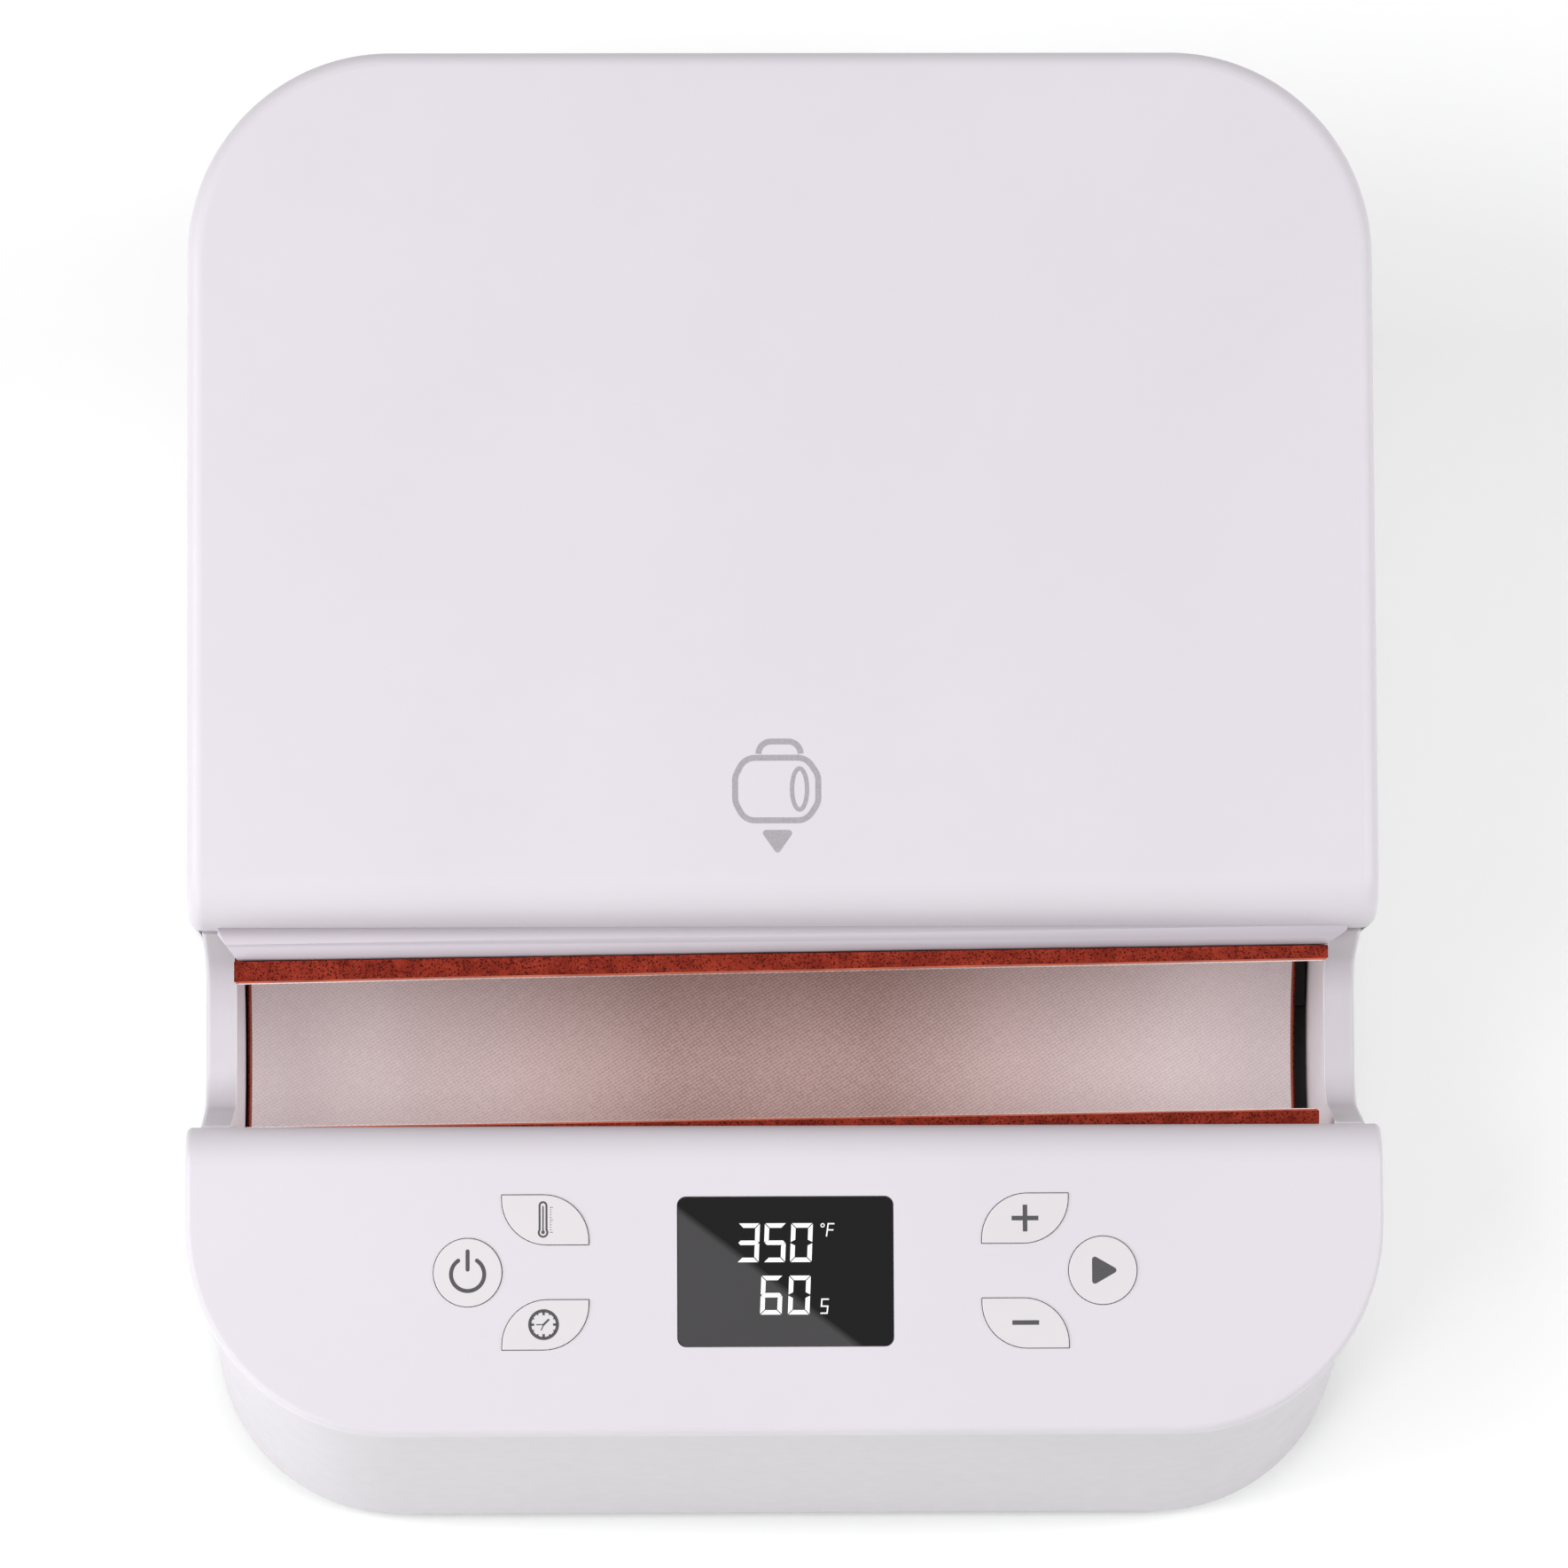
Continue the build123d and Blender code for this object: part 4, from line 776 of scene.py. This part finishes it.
def stroke(points, width, closed=False, caps=True):
    points = [Vector(p) for p in points]
    count = len(points)
    left, right = [], []
    for i, here in enumerate(points):
        before = points[i - 1] if closed or i else here
        after = points[(i + 1) % count] if closed or i < count - 1 else here
        arriving, leaving = here - before, after - here
        arriving = (arriving if arriving.length else leaving).normalized()
        leaving = (leaving if leaving.length else arriving).normalized()
        ahead = (arriving + leaving).normalized()
        normal = Vector((-ahead.y, ahead.x))
        reach = width / 2 / max(strokeEnds["mitre"], normal.dot(Vector((-leaving.y, leaving.x))))
        left.append(here + normal * reach)
        right.append(here - normal * reach)
    spots = left + right
    last = count if closed else count - 1
    faces = [(count + i, count + (i + 1) % count, (i + 1) % count, i) for i in range(last)]
    if not closed and caps:
        steps = strokeEnds["capSteps"]
        for i, arm in ((count - 1, right[-1] - points[-1]), (0, left[0] - points[0])):
            first = len(spots)
            spots += [points[i] + Matrix.Rotation(math.pi * k / steps, 2) @ arm for k in range(1, steps)]
            start, end = (count + i, i) if i else (i, count + i)
            faces.append((start, *range(first, len(spots)), end))
    return spots, faces


def patch(points):
    return [Vector(p) for p in points], [tuple(range(len(points)))]


def rounded(corners, radius, steps=6):
    spots = []
    corners = [Vector(c) for c in corners]
    for i, corner in enumerate(corners):
        before = (corners[i - 1] - corner).normalized()
        after = (corners[(i + 1) % len(corners)] - corner).normalized()
        half = before.angle(after) / 2
        cut = radius / math.tan(half)
        centre = corner + (before + after).normalized() * radius / math.sin(half)
        first = corner + before * cut - centre
        turn = first.angle_signed(corner + after * cut - centre)
        spots += [centre + Matrix.Rotation(-turn * k / steps, 2) @ first for k in range(steps + 1)]
    return spots


def printShapes(name, shapes, centre, top, material, body):
    spots, faces = [], []
    for points, polygons in shapes:
        first, count = len(spots), len(points)
        for depth in (0, prints["thickness"]):
            spots += [onSlope(centre[0] + p[0] * mm, centre[1] + p[1] * mm, top - depth) for p in points]
        walls = {(p[i], p[(i + 1) % len(p)]) for p in polygons for i in range(len(p))}
        for p in polygons:
            faces.append([first + i for i in p])
            faces.append([first + count + i for i in reversed(p)])
        for a, b in sorted(walls):
            if (b, a) not in walls:
                faces.append([first + a, first + count + a, first + count + b, first + b])
    data = bpy.data.meshes.new(name)
    data.from_pydata(spots, [], faces)
    data.update()
    return addPiece(name, data, material, body)


digit = {"width": 5.4, "height": 9.7, "bar": 1.12, "gap": 0.17, "slant": 0.04}
digitBars = {"0": "abcdef", "3": "abcdg", "5": "afgcd", "6": "afgedc"}
digitRows = {
    "350": {"left": -12.1, "bottom": 2.35, "pitch": 6.62},
    "60": {"left": -6.4, "bottom": -10.75, "pitch": 6.95},
}
unitMarks = {
    "degree": {"centre": (9.35, 11.5), "radius": 0.42, "width": 0.24, "steps": 16},
    "letters": [  # each stroke's width and points
        (0.32, [(10.3, 8.7), (10.75, 11.9), (12.3, 11.9)]),
        (0.32, [(10.72, 10.35), (12.05, 10.35)]),
        (0.34, [(10.85, -6.95), (9.1, -6.95), (8.95, -8.7), (10.55, -8.7), (10.35, -10.45), (8.7, -10.45)]),
    ],
}


def barShape(name):
    w, h, t, g = digit["width"], digit["height"], digit["bar"], digit["gap"]
    upright = [(0, h / 2 + g), (t, h / 2 + t / 2 + g), (t, h - t - g), (0, h - g)]
    shapes = {
        "a": [(t + g, h - t), (w - t - g, h - t), (w - g, h), (g, h)],
        "g": [(g, h / 2), (g + t / 2, h / 2 - t / 2), (w - g - t / 2, h / 2 - t / 2), (w - g, h / 2)],
        "f": upright,
        "b": [(w - x, y) for x, y in reversed(upright)],
        "e": [(x, h - y) for x, y in reversed(upright)],
        "c": [(w - x, h - y) for x, y in upright],
        "d": [(g, 0), (w - g, 0), (w - t - g, t), (t + g, t)],
    }
    shapes["g"] += [(w - g - t / 2, h / 2 + t / 2), (g + t / 2, h / 2 + t / 2)]
    return shapes[name]


def digitRow(text, left, bottom, pitch):
    shapes = []
    for i, character in enumerate(text):
        for bar in digitBars[character]:
            points = [(left + i * pitch + x + digit["slant"] * y, bottom + y) for x, y in barShape(bar)]
            shapes.append(patch(points))
    return shapes


def circleSpots(centre, radius, start=0, end=360, steps=32):  # a whole circle has its first point once
    spots = arcSpots(centre, radius, math.radians(start), math.radians(end), steps)
    return spots[:-1] if end - start == 360 else spots


def displayRows():
    box = slopeBox("display_lens")
    centre = (middle(box[0]), middle(box[1]))
    shapes = [shape for text, row in digitRows.items() for shape in digitRow(text, **row)]
    degree = unitMarks["degree"]
    ring = circleSpots(degree["centre"], degree["radius"], steps=degree["steps"])
    shapes.append(stroke(ring, degree["width"], closed=True))
    shapes += [stroke(points, width, caps=False) for width, points in unitMarks["letters"]]
    top = box[2][1] + prints["digitLift"]
    printShapes("displayDigits", shapes, centre, top, inkMaterials["digitLight"], "base")


powerSign = {"centre": (0, -0.45), "radius": 4.15, "arc": (124, 416, 40), "bar": (5.3, 0.75), "width": 1.0}
playSign = {"back": -2.7, "tip": 4.1, "half": 3.9, "round": 0.7}
crossSign = {"reach": 3.35, "width": 1.15, "minusRise": 0.1}
thermometer = {
    "x": -0.55,
    "top": 3.55,
    "topRadius": 0.86,
    "topArc": (0, 180, 12),  # degrees and steps
    "bulb": -3.15,
    "bulbRadius": 1.08,
    "bulbArc": (143, 397, 18),
    "width": 0.5,
    "column": (3.3, -2.6),
    "columnWidth": 0.36,
    "drop": -3.1,
    "dropRadius": 0.46,
    "dropSteps": 16,
}
scaleTicks = {"x": 1.15, "pitch": 0.62, "eachWay": 5, "long": 0.75, "short": 0.42, "width": 0.16}
clockFace = {"centre": (-0.45, 0.05), "radius": 3.45, "steps": 48, "width": 0.8}
clockTicks = {"count": 12, "radius": 3.3, "quarter": (0.95, 0.62), "hour": (0.55, 0.34)}  # lengths and widths
clockHands = [  # each hand's end and width, and whether its ends are round
    ((0.75, 1.25), 0.52, True),
    ((-2.3, 0.05), 0.28, False),
    ((-1.1, -1.4), 0.28, False),
]


def powerShapes():
    arc = circleSpots(powerSign["centre"], powerSign["radius"], *powerSign["arc"])
    bar = [(0, y) for y in powerSign["bar"]]
    return [stroke(arc, powerSign["width"]), stroke(bar, powerSign["width"])]


def playShapes():
    back, tip, half = playSign["back"], playSign["tip"], playSign["half"]
    return [patch(rounded([(back, -half), (tip, 0), (back, half)], playSign["round"]))]


def thermometerShapes():
    t, ticks = thermometer, scaleTicks
    tube = circleSpots((t["x"], t["top"]), t["topRadius"], *t["topArc"])
    tube += circleSpots((t["x"], t["bulb"]), t["bulbRadius"], *t["bulbArc"])
    shapes = [stroke(tube, t["width"], closed=True)]
    shapes.append(stroke([(t["x"], y) for y in t["column"]], t["columnWidth"]))
    shapes.append(patch(circleSpots((t["x"], t["drop"]), t["dropRadius"], steps=t["dropSteps"])))
    for i in range(-ticks["eachWay"], ticks["eachWay"] + 1):
        length = ticks["long"] if i % ticks["eachWay"] == 0 else ticks["short"]
        y = i * ticks["pitch"]
        shapes.append(stroke([(ticks["x"], y), (ticks["x"] + length, y)], ticks["width"], caps=False))
    return shapes


def clockShapes():
    centre = clockFace["centre"]
    face = circleSpots(centre, clockFace["radius"], steps=clockFace["steps"])
    shapes = [stroke(face, clockFace["width"], closed=True)]
    for i in range(clockTicks["count"]):
        turn = math.tau * i / clockTicks["count"]
        length, width = clockTicks["hour" if i % 3 else "quarter"]
        reaches = (clockTicks["radius"], clockTicks["radius"] - length)
        ends = [(centre[0] + math.sin(turn) * r, centre[1] + math.cos(turn) * r) for r in reaches]
        shapes.append(stroke(ends, width, caps=False))
    return shapes + [stroke([centre, end], width, caps=caps) for end, width, caps in clockHands]


def plusShapes():
    reach, width = crossSign["reach"], crossSign["width"]
    bars = ([(-reach, 0), (reach, 0)], [(0, width / 2), (0, reach)], [(0, -reach), (0, -width / 2)])
    return [stroke(bar, width, caps=False) for bar in bars]


def minusShapes():
    reach, rise = crossSign["reach"], crossSign["minusRise"]
    return [stroke([(-reach, rise), (reach, rise)], crossSign["width"], caps=False)]


def buttonIcons():
    drawings = {
        "power": powerShapes(),
        "start": playShapes(),
        "temperature": thermometerShapes(),
        "timer": clockShapes(),
        "plus": plusShapes(),
        "minus": minusShapes(),
    }
    ink = inkMaterials["iconInk"]
    for name, shapes in drawings.items():
        box = slopeBox(name + "_button")
        centre = (middle(box[0]), middle(box[1]))
        top = box[2][1] + prints["lift"]
        printShapes(name + "Icon", shapes, centre, top, ink, name + "_key")


cupMark = {
    "back": 34.4 * mm,  # from the hood's front
    "middleX": -1.5 * mm,
    "width": 1.5,
    "bodyRear": [(10.3, 3.4), (7.4, 7.9), (-8.2, 7.9), (-10.6, 3.2)],  # the front half mirrors it
    "bodyRound": 4.2,
    "mouth": {"x": 5.6, "reach": (1.9, 5.2), "steps": 24, "width": 1.1},
    "grip": {"from": -1.6, "to": 2.8, "foot": 8.9, "round": 3.1, "steps": 8},
    "pointer": [(-4.4, -10.3), (0, -16.6), (4.4, -10.3)],
    "pointerRound": 0.8,
}


def cupMouth(x, reach, steps, width):
    turns = [math.tau * i / steps for i in range(steps)]
    return stroke([(x + reach[0] * math.cos(a), reach[1] * math.sin(a)) for a in turns], width, closed=True)


def hoodMark():  # a cup lying on its side over a pointer: which way the mouth of the cup goes in
    rear, grip = cupMark["bodyRear"], cupMark["grip"]
    body = rounded([(x, -y) for x, y in reversed(rear)] + rear, cupMark["bodyRound"])
    handle = circleSpots((grip["from"], grip["foot"]), grip["round"], 180, 90, grip["steps"])
    handle += circleSpots((grip["to"], grip["foot"]), grip["round"], 90, 0, grip["steps"])
    shapes = [stroke(body, cupMark["width"], closed=True), cupMouth(**cupMark["mouth"])]
    shapes.append(stroke(handle, cupMark["width"], caps=False))
    shapes.append(patch(rounded(cupMark["pointer"], cupMark["pointerRound"])))
    box = slopeBox("hood")
    centre = (cupMark["middleX"], box[1][0] + cupMark["back"])
    top = box[2][1] + prints["lift"]
    printShapes("hoodMark", shapes, centre, top, inkMaterials["hoodInk"], "hood_carriage")


displayRows()
buttonIcons()
hoodMark()
print("display, icons and hood mark printed")

# cross-recess screws that show from below and behind, set out by a Geometry Nodes pattern

screwLook = {
    "head": 2.8 * mm,
    "shank": 1.5 * mm,
    "rim": 0.35 * mm,
    "sides": 32,
    "sharpAngle": 30,
    "recess": 3.4 * mm,
    "slot": 0.75 * mm,
    "deep": 0.9 * mm,
    "narrowing": 0.62,  # of the recess at its bottom
    "cutterOver": 0.2 * mm,
    "turnSeed": 4,
}
screwSets = {
    "bottomCrossScrews": {"node": "bottom_screws", "axis": (0, 0, -1), "headHeight": 2.0 * mm},
    "footCrossScrews": {"node": "foot_screws", "axis": (0, 0, -1), "headHeight": 1.5 * mm},
    "inletCrossScrews": {"node": "inlet_screws", "axis": (0, 1, 0), "headHeight": 1.3 * mm},
}
screwFinding = {"level": 0.01 * mm, "apart": 8 * mm}  # how flat a head's top is, and how far off the next is


def standIn(name, mesh):
    data = bpy.data.meshes.new(name)
    mesh.to_mesh(data)
    mesh.free()
    made = bpy.data.objects.new(name, data)
    bpy.context.scene.collection.objects.link(made)
    return made


def screwBlank(headHeight, length):  # stands on its head's underside, with the head towards +Z
    mesh = bmesh.new()
    head, shank, rim = screwLook["head"], screwLook["shank"], screwLook["rim"]
    outline = [(0, -length), (shank, -length), (shank, 0), (head, 0)]
    outline += [(head, headHeight - rim), (head - rim, headHeight), (0, headHeight)]
    spots = [mesh.verts.new((r, 0, z)) for r, z in outline]
    edges = [mesh.edges.new(pair) for pair in zip(spots, spots[1:])]
    turn = {"cent": (0, 0, 0), "axis": (0, 0, 1), "angle": math.tau, "steps": screwLook["sides"]}
    bmesh.ops.spin(mesh, geom=spots + edges, use_merge=True, **turn)
    bmesh.ops.remove_doubles(mesh, verts=mesh.verts, dist=weld)
    bmesh.ops.recalc_face_normals(mesh, faces=mesh.faces)
    return standIn("screwModel", mesh)


def recessCutter(headHeight):  # two crossed bars
    mesh = bmesh.new()
    long, narrow = screwLook["recess"], screwLook["slot"]
    for size in ((long, narrow), (narrow, long)):
        for vertex in bmesh.ops.create_cube(mesh, size=1)["verts"]:
            atTop = vertex.co.z > 0
            share = 1 if atTop else screwLook["narrowing"]
            vertex.co.x *= size[0] * share
            vertex.co.y *= size[1] * share
            vertex.co.z = headHeight + (screwLook["cutterOver"] if atTop else -screwLook["deep"])
    return standIn("recessCutter", mesh)


def screwModel(headHeight, length):
    model = screwBlank(headHeight, length)
    cutter = recessCutter(headHeight)
    cut = model.modifiers.new("recess", "BOOLEAN")
    cut.object = cutter
    cut.solver = "EXACT"
    cut.use_self = True
    bpy.context.view_layer.update()
    evaluated = model.evaluated_get(bpy.context.evaluated_depsgraph_get())
    finished = bpy.data.meshes.new_from_object(evaluated)
    bpy.data.objects.remove(cutter)
    model.modifiers.remove(cut)
    model.data = finished
    return model


def screwPattern():  # points in, one screw on each, turned at random about its own axis
    tree = bpy.data.node_groups.new("screwPattern", "GeometryNodeTree")
    tree.is_modifier = True
    sockets = (
        ("Geometry", "INPUT", "NodeSocketGeometry"),
        ("Screw", "INPUT", "NodeSocketObject"),
        ("Axis", "INPUT", "NodeSocketVector"),
        ("Seed", "INPUT", "NodeSocketInt"),
        ("Finish", "INPUT", "NodeSocketMaterial"),
        ("Geometry", "OUTPUT", "NodeSocketGeometry"),
    )
    for name, way, kind in sockets:
        tree.interface.new_socket(name=name, in_out=way, socket_type=kind)

    def add(kind, **settings):
        made = tree.nodes.new(kind)
        for key, value in settings.items():
            setattr(made, key, value)
        return made

    start, end = add("NodeGroupInput"), add("NodeGroupOutput")
    model = add("GeometryNodeObjectInfo")
    lean = add("FunctionNodeAlignRotationToVector", axis="Z")
    spinBy = add("FunctionNodeRandomValue", data_type="FLOAT")
    spinBy.inputs[3].default_value = math.tau  # the most of a decimal value, which is output 1
    spin = add("FunctionNodeAxisAngleToRotation")
    spin.inputs["Axis"].default_value = (0, 0, 1)
    turned = add("FunctionNodeRotateRotation", rotation_space="LOCAL")
    place = add("GeometryNodeInstanceOnPoints")
    real = add("GeometryNodeRealizeInstances")
    finish = add("GeometryNodeSetMaterial")
    link = tree.links.new
    link(start.outputs["Screw"], model.inputs["Object"])
    link(start.outputs["Axis"], lean.inputs["Vector"])
    link(start.outputs["Seed"], spinBy.inputs["Seed"])
    link(spinBy.outputs[1], spin.inputs["Angle"])
    link(lean.outputs[0], turned.inputs[0])
    link(spin.outputs[0], turned.inputs[1])
    link(start.outputs["Geometry"], place.inputs["Points"])
    link(model.outputs["Geometry"], place.inputs["Instance"])
    link(turned.outputs[0], place.inputs["Rotation"])
    link(place.outputs["Instances"], real.inputs["Geometry"])
    link(real.outputs["Geometry"], finish.inputs["Geometry"])
    link(start.outputs["Finish"], finish.inputs["Material"])
    link(finish.outputs["Geometry"], end.inputs["Geometry"])
    return tree


screwTree = screwPattern()


def runTree(name, tree, seatMesh, values):  # evaluates a tree on some points and gives back a plain mesh
    holder = bpy.data.objects.new(name, seatMesh)
    bpy.context.scene.collection.objects.link(holder)
    modifier = holder.modifiers.new(tree.name, "NODES")
    modifier.node_group = tree
    for item in tree.interface.items_tree:
        if item.in_out == "INPUT" and item.name in values:
            modifier[item.identifier] = values[item.name]
    bpy.context.view_layer.update()
    evaluated = holder.evaluated_get(bpy.context.evaluated_depsgraph_get())
    finished = bpy.data.meshes.new_from_object(evaluated)
    holder.modifiers.remove(modifier)
    bpy.data.objects.remove(holder)
    return finished


def screwSeats(node, axis):  # the middle of each screw's outer face, and how long the screws are
    heights = [v.co.dot(axis) for v in nodes[node].data.vertices]
    top = max(heights)
    groups = []
    for vertex, height in zip(nodes[node].data.vertices, heights):
        if height > top - screwFinding["level"]:
            near = next((g for g in groups if (g[0] - vertex.co).length < screwFinding["apart"]), None)
            if near:
                near.append(vertex.co.copy())
            else:
                groups.append([vertex.co.copy()])
    seats = []
    for group in groups:
        low = [min(p[k] for p in group) for k in range(3)]
        high = [max(p[k] for p in group) for k in range(3)]
        seats.append((Vector(low) + Vector(high)) / 2)
    return seats, top - min(heights)


def fitScrews(name, node, axis, headHeight):
    axis = Vector(axis)
    seats, length = screwSeats(node, axis)
    model = screwModel(headHeight, length - headHeight)
    points = bpy.data.meshes.new(name)
    points.from_pydata([seat - axis * headHeight for seat in seats], [], [])
    finish = slotMaterials["zinc_steel"]
    values = {"Screw": model, "Axis": tuple(axis), "Seed": screwLook["turnSeed"], "Finish": finish}
    mesh = runTree(name, screwTree, points, values)
    bpy.data.objects.remove(model)
    mesh.shade_smooth()
    mesh.set_sharp_from_angle(angle=math.radians(screwLook["sharpAngle"]))
    piece = addPiece(name, mesh, finish, "base")
    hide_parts(node)


for name, values in screwSets.items():
    fitScrews(name, **values)
print("screws set:", len(screwSets), "sets")


# floor

def addFloor():
    reach = studio["floorReach"]
    corners = [(-reach, -reach, 0), (reach, -reach, 0), (reach, reach, 0), (-reach, reach, 0)]
    mesh = bpy.data.meshes.new("studioFloor")
    mesh.from_pydata(corners, [], [(0, 1, 2, 3)])
    mesh.materials.append(newMaterial("studioWhite", studio["floorWhite"], studio["floorRoughness"]))
    floorObject = bpy.data.objects.new("studioFloor", mesh)
    bpy.context.scene.collection.objects.link(floorObject)


addFloor()
print("floor laid")
